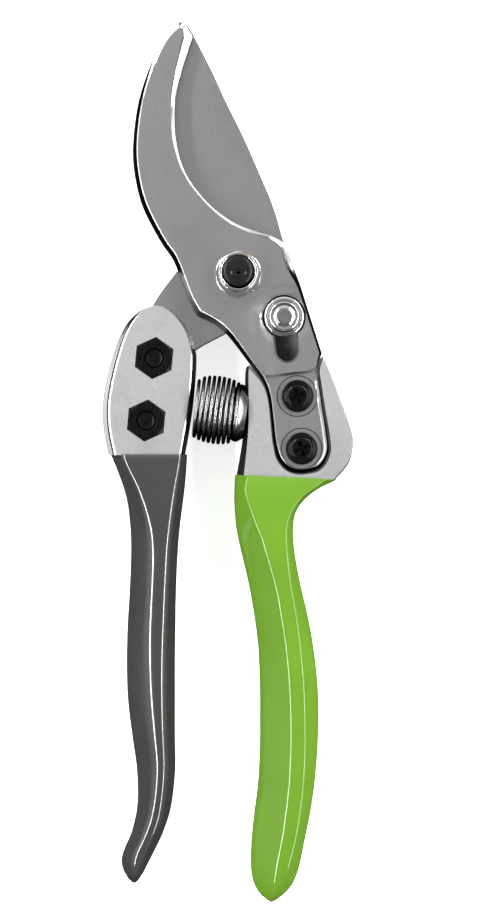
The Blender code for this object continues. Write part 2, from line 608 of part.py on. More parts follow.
# ---- lock ---------------------------------------------------------------
def make_lock():
    """Chromed button and washer in front, pin through the slot, slide plate behind."""
    seat = HOOK_Z[1] + GAP
    turn = math.atan2(LOCK_SLIDE.y, LOCK_SLIDE.x)
    inner, outer = LOCK_WASHER_R
    tail_low, tail_high = LOCK_TAIL_Z
    pieces = [
        lathe("lock_button", [
            (0, seat + 2.0), (1.4, seat + 1.85), (2.2, seat + 1.4), (2.3, seat + 0.9),
            (2.9, seat + 0.9), (3.1, seat + 1.3), (3.5, seat + 1.1), (LOCK_BUTTON_R, seat),
            (0, seat)], "chrome"),
        lathe("lock_washer", [
            (inner, seat + 0.4), (4.3, seat + 0.7), (outer, seat + 0.3), (outer, seat),
            (inner, seat)], "chrome", ring=True),
        lathe("lock_pin", [
            (0, HOOK_Z[1]), (LOCK_PIN_R, HOOK_Z[1]), (LOCK_PIN_R, tail_high),
            (LOCK_TAIL_R, tail_high), (LOCK_TAIL_R, tail_low), (0, tail_low)], "chrome"),
        washer("lock_circlip", (LOCK_TAIL_R + GAP, LOCK_CLIP_R), LOCK_CLIP_Z, "zinc_washer"),
    ]
    low, high = LOCK_PLATE_Z
    slide = block("lock_slide_plate", (*LOCK_PLATE_SIZE, high - low), (3.0, 0, (low + high) / 2),
                  "black_plastic")
    ridge = block("lock_ridge_form", (0.9, 6.4, 1.4), (5.0, 0, low))
    repeat = ridge.modifiers.new("row", "ARRAY")
    repeat.count = LOCK_RIDGES
    repeat.use_relative_offset = False
    repeat.use_constant_offset = True
    repeat.constant_offset_displace = (LOCK_RIDGE_PITCH * MM, 0, 0)
    boolean(slide, move(ridge, *LOCK_AT, turn=turn), "UNION")
    drill(slide, LOCK_AT, LOCK_TAIL_R + GAP, through(LOCK_PLATE_Z))
    for piece in pieces:
        move(piece, *LOCK_AT)
    move(slide, *LOCK_AT, turn=turn)


# ---- spring -------------------------------------------------------------
def make_spring():
    """Barrel coil between the heads, a little fatter in the middle."""
    start, end, along = spring_axis()
    across = Vector((-along.y, along.x))
    first = start + along * (GAP + SPRING_WIRE_R)
    length = (end - start).length - 2 * (GAP + SPRING_WIRE_R) - SPRING_SLACK
    count = SPRING_TURNS * SPRING_STEPS
    curve = bpy.data.curves.new("spring", "CURVE")
    curve.dimensions = "3D"
    curve.bevel_depth = SPRING_WIRE_R * MM
    curve.bevel_resolution = 2
    curve.use_fill_caps = True
    wire = curve.splines.new("POLY")
    wire.points.add(count)
    for i, point in enumerate(wire.points):
        t = i / count
        angle = 2 * math.pi * SPRING_TURNS * t
        radius = SPRING_R[0] + (SPRING_R[1] - SPRING_R[0]) * math.sin(math.pi * t) ** SPRING_BULGE
        flat = first + along * (length * t) + across * (radius * math.cos(angle))
        z = SPRING_Z + radius * math.sin(angle)
        point.co = (flat.x * MM, flat.y * MM, z * MM, 1.0)
    curve.materials.append(material("spring_steel"))
    PARTS.objects.link(bpy.data.objects.new("spring", curve))


clear_scene()
PARTS = collection("bypass_pruner")
CUTTERS = collection("cutters")
make_hook()
make_blade()
make_left_handle()
make_right_handle()
make_hook_screws()
make_blade_bolts()
make_pivot()
make_lock()
make_spring()
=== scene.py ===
"""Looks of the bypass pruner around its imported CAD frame: pieces, materials, light and camera.

The pivot axis is the Z axis, +Y runs to the tips and +Z faces the viewer.
Tables are in millimetres; MM turns them into Blender's metres.
"""
import math

import bmesh
import bpy
from mathutils import Matrix, Vector


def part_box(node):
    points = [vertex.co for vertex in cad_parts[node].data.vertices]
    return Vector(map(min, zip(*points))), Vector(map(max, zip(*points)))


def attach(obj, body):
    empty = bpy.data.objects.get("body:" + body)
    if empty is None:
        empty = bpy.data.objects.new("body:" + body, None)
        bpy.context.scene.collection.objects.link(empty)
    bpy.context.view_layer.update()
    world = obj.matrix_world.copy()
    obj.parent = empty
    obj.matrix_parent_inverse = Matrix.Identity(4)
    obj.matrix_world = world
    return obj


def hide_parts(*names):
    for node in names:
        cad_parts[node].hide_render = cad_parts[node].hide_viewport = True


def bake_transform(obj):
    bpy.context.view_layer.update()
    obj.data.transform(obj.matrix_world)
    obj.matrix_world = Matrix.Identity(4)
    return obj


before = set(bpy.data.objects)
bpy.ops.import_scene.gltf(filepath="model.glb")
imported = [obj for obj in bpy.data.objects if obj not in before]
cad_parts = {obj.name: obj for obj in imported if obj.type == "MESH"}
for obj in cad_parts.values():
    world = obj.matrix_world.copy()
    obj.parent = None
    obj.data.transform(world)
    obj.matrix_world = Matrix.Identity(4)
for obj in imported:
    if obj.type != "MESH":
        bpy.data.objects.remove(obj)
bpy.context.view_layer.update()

MM = 0.001
STEP = 0.7                      # spacing of points along a curved outline, mm
ROUND = 96                      # sides of a turned piece
SHARP = math.radians(27)        # edges steeper than this stay crisp


def span(node, axis):
    """Lowest and highest value of a CAD node along one axis, in millimetres."""
    low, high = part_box(node)
    return low[axis] / MM, high[axis] / MM


def middle(node):
    """Centre of a CAD node seen from the front, in millimetres."""
    low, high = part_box(node)
    return Vector(((low.x + high.x) / 2 / MM, (low.y + high.y) / 2 / MM))


# ---- places, read from the CAD frame where a node's box gives them ----
HOOK_Z = span("hook_blade", 2)
BLADE_Z = span("cutting_blade", 2)
HEAD_Z = (3.0, 12.4)            # cast heads, back and front
MID_Z = 7.8                     # parting plane of the cast handles
HOOK_SCREWS = (middle("hook_screw_upper"), middle("hook_screw_lower"))
BLADE_BOLTS = (middle("blade_bolt_upper"), middle("blade_bolt_lower"))
LOCK_AT = middle("lock_button")
LOCK_SLIDE = Vector((0.092, -0.996))
LOCK_TRAVEL = 7.8
LOCK_RIDGES = 5
LOCK_RIDGE_PITCH = 1.8
HOLE_R = 2.6                    # for the hook's screws and the blade's bolts
NUT_R = 4.9                     # to a corner
BLADE_NUT_TURN = math.radians(84.6)
BLADE_NUT_POCKET_R = 5.1
BLADE_NUT_POCKET_Z = 9.6        # floor of the pockets in the left head's front
HOOK_NUT_TURN = math.radians(90)
HOOK_NUT_POCKET_R = 4.92
HOOK_NUT_POCKET_Z = 5.9
PIVOT_HOLE_R = 5.1
SLOT_R = 2.6
SLOT_END = 0.25                 # the slot runs on this far past the lock's travel
TANG_Z = 11.3                   # front of the hook's tang
SCREW_SEAT_Z = 11.1
INSIDE_Z = (2.0, 14.0)          # from behind the heads to in front of them
GRIP_STEP = 1.6                 # spacing of a grip's sections
GRIP_WALL = 1.2
GRIP_HOLE_END = -110            # y of the deepest section of a grip's hole
BAR_INSET = 1.5                 # a bar's surface below its grip's
BAR_END = -90                   # y of the end of each bar
GREEN_TILT = -0.045             # slope of the green grip's upper rim
SPRING_START = Vector((-11.05, -31.95))
SPRING_END = Vector((1.42, -33.7))
SPRING_Z = 8.15                 # height of the coil's axis
SPRING_TURNS = 8.5
SPRING_WIDE = 1.045             # the barrel is a little wider than it is deep
SPRING_GAP = 0.3                # between the coil's ends and the heads
SPRING_SEAT = 1.0               # length left to the seat at the right end
WIRE_R = 0.42

def even(width, *points):
    """A run of (x, y) with the same plain edge all along."""
    return tuple((x, y, width, 0) for x, y in points)


# ---- outlines: runs of (x, y, edge width, steepness); a corner joins two runs
# steepness 0 is a broad shallow bevel, 1 a wall with a bright rim, 2 a bare wall, 3 a wall
# standing on a ledge
HOOK_RUNS = (
    ((-14.8, 60.5, 1.9, 0), (-18.4, 56.6, 1.6, 0), (-21.5, 50.0, 1.4, 0.6),
     (-24.1, 41.9, 1.4, 0.95), (-25.4, 32.7, 1.4, 1), (-25.2, 25.0, 1.4, 1),
     (-23.2, 16.5, 1.4, 1), (-18.9, 8.1, 1.3, 1), (-15.6, 3.1, 1.3, 1),
     (-12.3, -5.4, 1.3, 1), (-10.1, -9.9, 1.5, 1)),
    ((-3.7, -13.6, 1.2, 1), (2.6, -21.5, 1.0, 1), (5.75, -25.8, 0.7, 1), (7.2, -29.7, 0.6, 1),
     (7.9, -35.0, 0.6, 1), (8.5, -40.7, 0.65, 1), (9.6, -44.85, 0.85, 1),
     (12.05, -47.4, 1.0, 1), (15.4, -48.1, 1.05, 1), (19.65, -46.9, 0.9, 0.7),
     (21.8, -43.2, 0.6, 0.1), (21.6, -38.75, 0.5, 0), (20.55, -32.5, 0.4, 0),
     (19.65, -26.6, 0.35, 0), (19.1, -22.8, 0.5, 0.5), (20.2, -19.1, 0.8, 2)),
    ((16.2, -6.4, 0.95, 2), (15.0, -2.6, 1.1, 2.1), (13.9, 0.2, 1.5, 2.7),
     (12.9, 2.9, 1.8, 3), (11.9, 5.6, 1.5, 3), (11.2, 7.0, 1.2, 3)),
    ((11.05, 7.1, 1.3, 0), (8.4, 8.9, 1.1, 0), (3.0, 10.6, 0.9, 0), (-1.2, 12.4, 0.75, 0),
     (-5.4, 15.3, 0.6, 0), (-8.8, 18.7, 0.55, 0), (-11.9, 22.9, 0.6, 0), (-14.0, 27.9, 0.7, 0),
     (-15.1, 34.0, 0.85, 0), (-15.1, 41.7, 1.15, 0), (-14.0, 47.2, 1.5, 0),
     (-12.5, 52.3, 1.85, 0), (-10.9, 57.0, 2.2, 0)),
    ((-12.3, 59.7, 1.5, 0),),
)
# the part of the hook's front that is pressed lower, with the slope's width
TANG_STEP_RUNS = (
    even(0.9, (3.0, -24.9), (7.75, -24.3), (13.3, -23.6), (17.5, -23.0), (19.0, -21.2),
         (19.4, -17.6)),
    even(0.0, (28.0, -17.6)),
    even(0.0, (28.0, -52.0)),
    ((3.0, -52.0, 0.0, 0), (3.0, -24.9, 0.9, 0)),
)
BLADE_RUNS = (
    even(0.3, (-11.0, 58.2), (-6.5, 49.4), (-3.1, 42.0), (1.1, 33.5), (5.0, 24.7), (8.5, 16.2),
         (11.0, 7.6)),
    even(0.3, (12.3, 0.0), (10.65, -6.15), (6.15, -10.65), (0.5, -12.3), (-4.0, -14.7),
         (-10.0, -18.0), (-13.3, -21.4), (-15.1, -26.8), (-16.6, -35.7), (-18.7, -39.8),
         (-22.6, -41.1), (-26.4, -39.3), (-27.9, -35.0), (-27.1, -27.0), (-25.8, -18.4),
         (-23.6, -11.7)),
    even(0.3, (-20.4, -6.9), (-18.6, -4.1), (-14.8, 0.9)),
    ((-12.9, 4.7, 0.6, 0), (-13.7, 11.2, 1.8, 0), (-16.4, 19.3, 3.6, 0), (-18.4, 27.4, 4.2, 0),
     (-19.0, 35.5, 4.2, 0), (-18.3, 43.6, 3.8, 0), (-16.5, 51.2, 2.4, 0),
     (-14.1, 57.3, 1.0, 0), (-12.4, 60.5, 0.3, 0)),
)
# here 0 is a plain wall, 1 a rounded flange with a step inside it, -1 a wall with a bright rim,
# -2 a bare wall
LEFT_HEAD_RUNS = (
    ((-20.5, -7.7, 0.08, 1), (-23.3, -8.7, 0.4, 1), (-26.2, -11.2, 1.2, 1),
     (-28.3, -14.6, 1.6, 1), (-30.0, -19.0, 1.8, 1), (-31.6, -24.9, 1.9, 1),
     (-32.6, -31.0, 1.9, 1), (-32.5, -37.0, 1.9, 1), (-31.3, -43.4, 1.9, 1),
     (-30.3, -47.0, 1.9, 1)),
    ((-13.7, -47.0, 1.15, -1),),
    ((-12.9, -43.3, 1.15, -1), (-11.4, -34.5, 1.15, -1), (-10.7, -28.7, 1.15, -1),
     (-10.2, -21.4, 1.15, -1), (-10.5, -17.8, 1.0, -1.5), (-12.2, -13.3, 0.75, -2),
     (-15.1, -9.9, 0.4, -2), (-18.0, -8.1, 0.12, -1), (-20.5, -7.7, 0.08, 1)),
)
RIGHT_HEAD_RUNS = (
    ((22.3, -24.5, 0.15, 0), (24.9, -31.3, 0.2, 0), (27.1, -36.8, 0.2, -0.5),
     (27.8, -40.6, 0.3, -1), (26.8, -45.4, 0.5, -2), (23.7, -49.3, 0.5, -2),
     (21.0, -52.0, 0.5, -2)),
    ((-1.2, -52.0, 1.7, -2),),
    ((-0.4, -48.4, 1.7, -2), (1.15, -38.7, 1.2, -2), (1.6, -30.0, 0.9, -2),
     (1.7, -23.6, 0.8, -2), (2.5, -21.9, 0.7, -2), (4.2, -22.2, 0.4, -2)),
    ((7.3, -24.1, 0.3, 0), (12.4, -25.3, 0.3, 0), (17.2, -23.4, 0.3, 0), (20.3, -19.7, 0.3, 0)),
)
# the line on which each head ends at its grip, left end first
LEFT_FOOT = ((-40.0, -43.7), (0.0, -43.7))
RIGHT_FOOT = ((-10.0, -48.1), (40.0, -50.35))
FOOT_END = -60.0                # below both heads' outlines
HOOK_POCKET_RUNS = (
    even(0, (-2.0, -14.5), (2.0, -21.9), (5.5, -26.3), (6.9, -29.8), (7.6, -35.0), (8.2, -40.8),
         (9.3, -45.0), (11.9, -47.7), (15.4, -48.4), (19.8, -47.2), (22.1, -43.3), (21.9, -38.7),
         (20.85, -32.5), (19.95, -26.6), (19.6, -23.0), (21.2, -17.8)),
    even(0, (10.0, -12.0), (-2.0, -14.5)),
)
# grip stations: y, left x, right x, half thickness
LEFT_GRIP = (
    (-43.7, -30.8, -12.4, 5.25), (-48.6, -28.8, -12.7, 6.0), (-54.3, -27.0, -13.3, 6.7),
    (-61.4, -26.1, -14.2, 7.3), (-68.4, -25.95, -14.75, 7.6), (-77.0, -26.3, -15.1, 7.8),
    (-85.5, -26.8, -15.25, 7.8), (-94.0, -26.95, -15.35, 7.8), (-102.5, -26.7, -15.35, 7.8),
    (-111.7, -25.6, -15.35, 7.6), (-118.8, -24.6, -15.25, 7.3), (-125.3, -24.3, -15.75, 6.9),
    (-130.2, -24.7, -16.6, 6.5), (-135.2, -25.95, -18.3, 6.1),
    (-138.7, -27.5, -19.95, 5.7), (-141.6, -28.3, -21.4, 5.2), (-144.4, -27.7, -22.8, 4.0),
    (-146.2, -26.6, -23.9, 2.4), (-147.0, -25.7, -24.7, 0.9),
)
RIGHT_GRIP = (
    (-49.15, -0.8, 23.7, 5.25), (-51.15, -0.9, 19.95, 5.9), (-53.85, -1.0, 16.45, 6.4),
    (-57.4, -0.85, 13.9, 6.8), (-61.6, -0.45, 13.25, 7.1), (-67.1, 0.7, 13.6, 7.4),
    (-74.8, 2.5, 15.0, 7.7), (-82.4, 3.85, 16.75, 7.8), (-90.1, 4.8, 18.15, 7.8),
    (-99.1, 5.2, 19.15, 7.8), (-107.4, 5.25, 19.35, 7.8), (-114.4, 5.2, 19.15, 7.8),
    (-122.7, 4.8, 18.45, 7.8), (-129.6, 3.95, 17.45, 7.6), (-136.6, 3.2, 16.05, 7.3),
    (-143.5, 3.05, 14.6, 6.6), (-147.7, 3.95, 12.9, 5.3), (-150.1, 5.55, 10.7, 3.6),
    (-151.2, 6.85, 9.25, 1.9), (-151.7, 7.65, 8.45, 0.8),
)
# flat band along the front of each grip: y, left edge, right edge, corner softness
LEFT_BAND = (
    (-43.7, -27.6, -13.7, 0.85), (-52.1, -23.9, -15.0, 1.19), (-60.5, -21.2, -16.0, 1.53),
    (-65.9, -20.5, -16.5, 1.7), (-72.5, -20.6, -16.8, 1.87), (-82.1, -21.1, -17.2, 2.04),
    (-91.0, -21.3, -17.5, 2.21), (-100.1, -21.0, -17.6, 2.21), (-109.0, -20.4, -17.4, 2.38),
    (-118.0, -19.7, -17.1, 2.38), (-125.0, -20.2, -17.6, 2.38), (-130.8, -21.2, -18.6, 2.04),
    (-135.1, -22.8, -20.2, 1.87), (-140.0, -24.9, -22.6, 1.7), (-147.0, -25.6, -24.8, 0.85),
)
RIGHT_BAND = (
    (-49.15, 1.0, 21.0, 0.6), (-53.3, 1.7, 15.5, 0.8), (-58.6, 3.6, 12.4, 0.9),
    (-63.5, 5.8, 11.8, 0.9), (-74.9, 9.0, 12.8, 0.9), (-81.5, 10.3, 14.0, 0.9),
    (-88.1, 11.4, 14.9, 0.9), (-97.5, 12.4, 15.8, 1.0), (-109.7, 12.9, 16.2, 1.0),
    (-121.7, 12.5, 15.9, 1.1), (-133.7, 11.2, 14.4, 1.2), (-142.6, 9.4, 12.2, 1.2),
    (-151.7, 7.9, 8.2, 0.4),
)


# ---- small helpers ----
def spline_point(a, b, c, d, t):
    """Catmull-Rom between b and c; works on any number of values a point."""
    return tuple(
        0.5 * (2 * q + (r - p) * t + (2 * p - 5 * q + 4 * r - s) * t * t
               + (3 * q - p - 3 * r + s) * t ** 3)
        for p, q, r, s in zip(a, b, c, d))


def smooth_run(points, step):
    """Points along one open smooth run, without its first point."""
    first = tuple(2 * p - q for p, q in zip(points[0], points[1]))
    last = tuple(2 * p - q for p, q in zip(points[-1], points[-2]))
    ring = [first, *points, last]
    made = []
    for i in range(1, len(points)):
        length = math.dist(ring[i][:2], ring[i + 1][:2])
        count = max(1, round(length / step))
        if len(points) == 2:
            count = 1
        for k in range(1, count + 1):
            made.append(spline_point(ring[i - 1], ring[i], ring[i + 1], ring[i + 2], k / count))
    return made


def outline(runs, step=STEP):
    """Closed counter-clockwise outline; each run starts where the last one ended."""
    made = []
    start = runs[-1][-1]
    for run in runs:
        points = list(run)
        if math.dist(start[:2], points[0][:2]) > 0.01:
            points.insert(0, start)
        made += smooth_run(points, step) if len(points) > 1 else []
        start = run[-1]
    area = sum(a[0] * b[1] - b[0] * a[1] for a, b in zip(made, made[1:] + made[:1]))
    return made if area > 0 else made[::-1]


def inward(points):
    """For each point of a counter-clockwise outline, the way inwards that keeps widths even."""
    made = []
    count = len(points)
    for i, point in enumerate(points):
        before = Vector(points[i - 1][:2])
        after = Vector(points[(i + 1) % count][:2])
        here = Vector(point[:2])
        one = (here - before).normalized()
        two = (after - here).normalized()
        way = Vector((-one.y - two.y, one.x + two.x))
        made.append(way / max(0.4, 1.0 + one.dot(two)))
    return made


def along(table, y):
    """Values of a table sorted by falling y, smoothly read at y."""
    rows = list(table)
    if y >= rows[0][0]:
        return rows[0][1:]
    if y <= rows[-1][0]:
        return rows[-1][1:]
    i = next(k for k in range(len(rows) - 1) if rows[k + 1][0] <= y)
    low = rows[max(0, i - 1)]
    high = rows[min(len(rows) - 1, i + 2)]
    t = (rows[i][0] - y) / (rows[i][0] - rows[i + 1][0])
    return spline_point(low[1:], rows[i][1:], rows[i + 1][1:], high[1:], t)


def round_corner(before, corner, after, radius, steps, limit=0.45):
    """A small curve in place of a corner; limit is the share of each side it may take."""
    here = Vector(corner)
    back = Vector(before) - here
    ahead = Vector(after) - here
    start = here + back.normalized() * min(radius, back.length * limit)
    end = here + ahead.normalized() * min(radius, ahead.length * limit)
    return [start * (1 - t) ** 2 + here * (2 * t * (1 - t)) + end * t * t
            for t in (k / steps for k in range(steps + 1))]


def soften(points, radius, steps=3, closed=False):
    """A polyline with each corner replaced by a small curve."""
    made = []
    count = len(points)
    for i, point in enumerate(points):
        if closed or 0 < i < count - 1:
            made += round_corner(points[i - 1], point, points[(i + 1) % count], radius, steps)
        else:
            made.append(Vector(point))
    return made


def circle(sides, turn=0.0):
    """Directions round a full turn, each as its cosine and sine."""
    angles = (turn + 2 * math.pi * i / sides for i in range(sides))
    return [(math.cos(angle), math.sin(angle)) for angle in angles]


def left_of(way):
    """The direction a quarter turn to the left."""
    return Vector((-way.y, way.x))


def new_object(name, shape):
    """Link a bmesh whose coordinates are in millimetres."""
    bmesh.ops.recalc_face_normals(shape, faces=shape.faces)
    mesh = bpy.data.meshes.new(name)
    shape.to_mesh(mesh)
    shape.free()
    mesh.transform(Matrix.Scale(MM, 4))
    item = bpy.data.objects.new(name, mesh)
    bpy.context.scene.collection.objects.link(item)
    return item


def loft(name, rings):
    """Solid skin through rings of equally many points, closed by two end faces."""
    shape = bmesh.new()
    loops = [[shape.verts.new(point) for point in ring] for ring in rings]
    for low, high in zip(loops, loops[1:]):
        for i in range(len(low)):
            k = (i + 1) % len(low)
            shape.faces.new((low[i], low[k], high[k], high[i]))
    shape.faces.new(loops[0][::-1])
    shape.faces.new(loops[-1])
    return new_object(name, shape)


def lathe(name, profile, sides=ROUND, ring=False, at=(0, 0)):
    """Turned piece round a vertical axis; profile is (radius, z)."""
    shape = bmesh.new()
    loops = []
    for radius, z in profile:
        if radius < 1e-6:
            loops.append([shape.verts.new((at[0], at[1], z))])
            continue
        loops.append([shape.verts.new((at[0] + radius * c, at[1] + radius * s, z))
                      for c, s in circle(sides)])
    pairs = list(zip(loops, loops[1:]))
    if ring:
        pairs.append((loops[-1], loops[0]))
    for one, two in pairs:
        for i in range(sides):
            k = (i + 1) % sides
            if len(one) == 1:
                shape.faces.new((one[0], two[i], two[k]))
            elif len(two) == 1:
                shape.faces.new((one[i], one[k], two[0]))
            else:
                shape.faces.new((one[i], one[k], two[k], two[i]))
    return new_object(name, shape)


def prism(name, radius, z_range, sides, at=(0, 0), turn=0.0):
    """Upright prism; turn is the direction of its first corner."""
    return loft(name, [[(at[0] + radius * c, at[1] + radius * s, z)
                        for c, s in circle(sides, turn)] for z in z_range])


def inset(points, distance, z):
    """A closed outline moved inwards, at one height."""
    return [(p[0] + w.x * distance, p[1] + w.y * distance, z)
            for p, w in zip(points, inward(points))]


def slab(name, points, z_range, flare=0.0):
    """Upright solid on a closed outline; flare widens its top outwards."""
    low, high = z_range
    return loft(name, [inset(points, 0.0, low), inset(points, -flare, high)])


def settle(item):
    """Apply the modifiers of an object."""
    graph = bpy.context.evaluated_depsgraph_get()
    made = bpy.data.meshes.new_from_object(item.evaluated_get(graph))
    old = item.data
    item.modifiers.clear()
    item.data = made
    bpy.data.meshes.remove(old)


def carve(target, cutters, operation="DIFFERENCE"):
    """Cut, join or intersect with helper solids, which are then removed."""
    for cutter in cutters:
        step = target.modifiers.new("carve", "BOOLEAN")
        step.operation = operation
        step.solver = "EXACT"
        step.object = cutter
    settle(target)
    for cutter in cutters:
        bpy.data.objects.remove(cutter, do_unlink=True)


def hole(radius, z_range, at=(0, 0)):
    """Cutter for a round hole right through."""
    low, high = z_range
    return lathe("cut", [(0, low - 1), (radius, low - 1), (radius, high + 1), (0, high + 1)], at=at)


# ---- materials ----
def ramp_node(tree, stops):
    """Colour ramp with stops of (place, colour)."""
    made = tree.nodes.new("ShaderNodeValToRGB")
    while len(made.color_ramp.elements) < len(stops):
        made.color_ramp.elements.new(0.5)
    for element, (place, colour) in zip(made.color_ramp.elements, stops):
        element.position = place
        element.color = (*colour, 1.0)
    return made


def range_node(tree, value, start, end, low, high):
    """A value stretched from start..end to low..high."""
    made = tree.nodes.new("ShaderNodeMapRange")
    for key, number in (("From Min", start), ("From Max", end), ("To Min", low), ("To Max", high)):
        made.inputs[key].default_value = number
    tree.links.new(value, made.inputs["Value"])
    return made


class Look:
    """A material with its node tree, read in object space so that it needs no UVs."""

    def __init__(self, name, colour, metallic, roughness):
        self.made = bpy.data.materials.new(name)
        self.made.use_nodes = True
        self.tree = self.made.node_tree
        self.shader = self.tree.nodes["Principled BSDF"]
        self.shader.inputs["Base Color"].default_value = (*colour, 1.0)
        self.shader.inputs["Metallic"].default_value = metallic
        self.shader.inputs["Roughness"].default_value = roughness
        self.coords = self.tree.nodes.new("ShaderNodeTexCoord")
        self.height = None

    def link(self, source, target):
        self.tree.links.new(source, target)

    def noise(self, scale, stretch=(1, 1, 1), turn=0.0, detail=4.0, rough=0.55):
        """Fractal noise; scale is in features a metre, stretch squeezes it along an axis."""
        mapping = self.tree.nodes.new("ShaderNodeMapping")
        mapping.inputs["Scale"].default_value = stretch
        mapping.inputs["Rotation"].default_value = (0, 0, turn)
        made = self.tree.nodes.new("ShaderNodeTexNoise")
        made.inputs["Scale"].default_value = scale
        made.inputs["Detail"].default_value = detail
        made.inputs["Roughness"].default_value = rough
        self.link(self.coords.outputs["Object"], mapping.inputs["Vector"])
        self.link(mapping.outputs["Vector"], made.inputs["Vector"])
        return made.outputs["Fac"]

    def spread(self, fac, low, high, start=0.3, end=0.7):
        """The noise stretched over a range of values."""
        return range_node(self.tree, fac, start, end, low, high).outputs["Result"]

    def combine(self, kind, operation, *values):
        """Outputs of a maths node fed by sockets or by fixed values."""
        made = self.tree.nodes.new(kind)
        made.operation = operation
        for socket, value in zip(made.inputs, values):
            if isinstance(value, bpy.types.NodeSocket):
                self.link(value, socket)
            else:
                socket.default_value = value
        return made.outputs

    def maths(self, operation, *values):
        return self.combine("ShaderNodeMath", operation, *values)["Value"]

    def vectors(self, operation, *values):
        return self.combine("ShaderNodeVectorMath", operation, *values)["Vector"]

    def z_of(self, vector):
        made = self.tree.nodes.new("ShaderNodeSeparateXYZ")
        self.link(vector, made.inputs["Vector"])
        return made.outputs["Z"]

    def paint(self, fac, stops):
        """Base colour read from stops of (place, colour)."""
        ramp = ramp_node(self.tree, stops)
        self.link(fac, ramp.inputs["Fac"])
        self.link(ramp.outputs["Color"], self.shader.inputs["Base Color"])

    def colours(self, fac, low, high):
        """Base colour running between two colours."""
        self.paint(fac, ((0.3, low), (0.7, high)))

    def roughness(self, fac, low, high):
        self.link(self.spread(fac, low, high), self.shader.inputs["Roughness"])

    def bump(self, fac, depth, strength=1.0):
        """Surface relief of that depth in millimetres; calls stack up."""
        made = self.tree.nodes.new("ShaderNodeBump")
        made.inputs["Strength"].default_value = strength
        made.inputs["Distance"].default_value = depth * MM
        self.link(fac, made.inputs["Height"])
        if self.height:
            self.link(self.height, made.inputs["Normal"])
        self.height = made.outputs["Normal"]
        self.link(self.height, self.shader.inputs["Normal"])
        return self

    def set(self, **values):
        for key, value in values.items():
            self.shader.inputs[key.replace("_", " ")].default_value = value


def shades(colour, amount):
    """A darker and a lighter version of a colour."""
    return (tuple(c * (1 - amount) for c in colour),
            tuple(min(1.0, c * (1 + amount)) for c in colour))


def tinted(colour, stops):
    """Stops of (place, share), each with that share of the colour."""
    return [(place, tuple(c * share for c in colour)) for place, share in stops]


def paint_wall_shade(look, colour, wall_shade_share, spread=0.04):
    """Painted shade: ground faces keep the colour, slopes past 53 degrees are painted darker, fully
    at 66; faces turned straight up are painted a little lighter.
    """
    size = look.maths("ABSOLUTE", look.z_of(look.coords.outputs["Normal"]))
    cloud = look.spread(look.noise(70, detail=3), -0.5 * spread, 0.5 * spread)
    stops = ((0.4, wall_shade_share), (0.6, 1 - spread), (0.98, 1 - spread), (1.0, 1 + spread))
    # painted shade on steep walls, painted highlight on faces turned straight up
    look.paint(look.maths("ADD", size, cloud), tinted(colour, stops))


def steel_look(name, colour, roughness, turn):
    """Satin ground steel: fine lines one way, a soft cloudiness, a few scratches, and painted shade
    on its steep walls.
    """
    look = Look(name, colour, 1.0, roughness)
    lines = look.noise(900, (6, 0.25, 1), turn, 5, 0.7)
    # painted shade: steep walls are painted dark, down to 6 percent of the colour
    paint_wall_shade(look, colour, 0.06)
    look.roughness(lines, roughness - 0.02, roughness + 0.02)
    look.bump(lines, 0.0015, 0.5)
    look.bump(look.noise(260, (3, 0.2, 1), turn + 0.5, 2), 0.0015, 0.4)
    return look


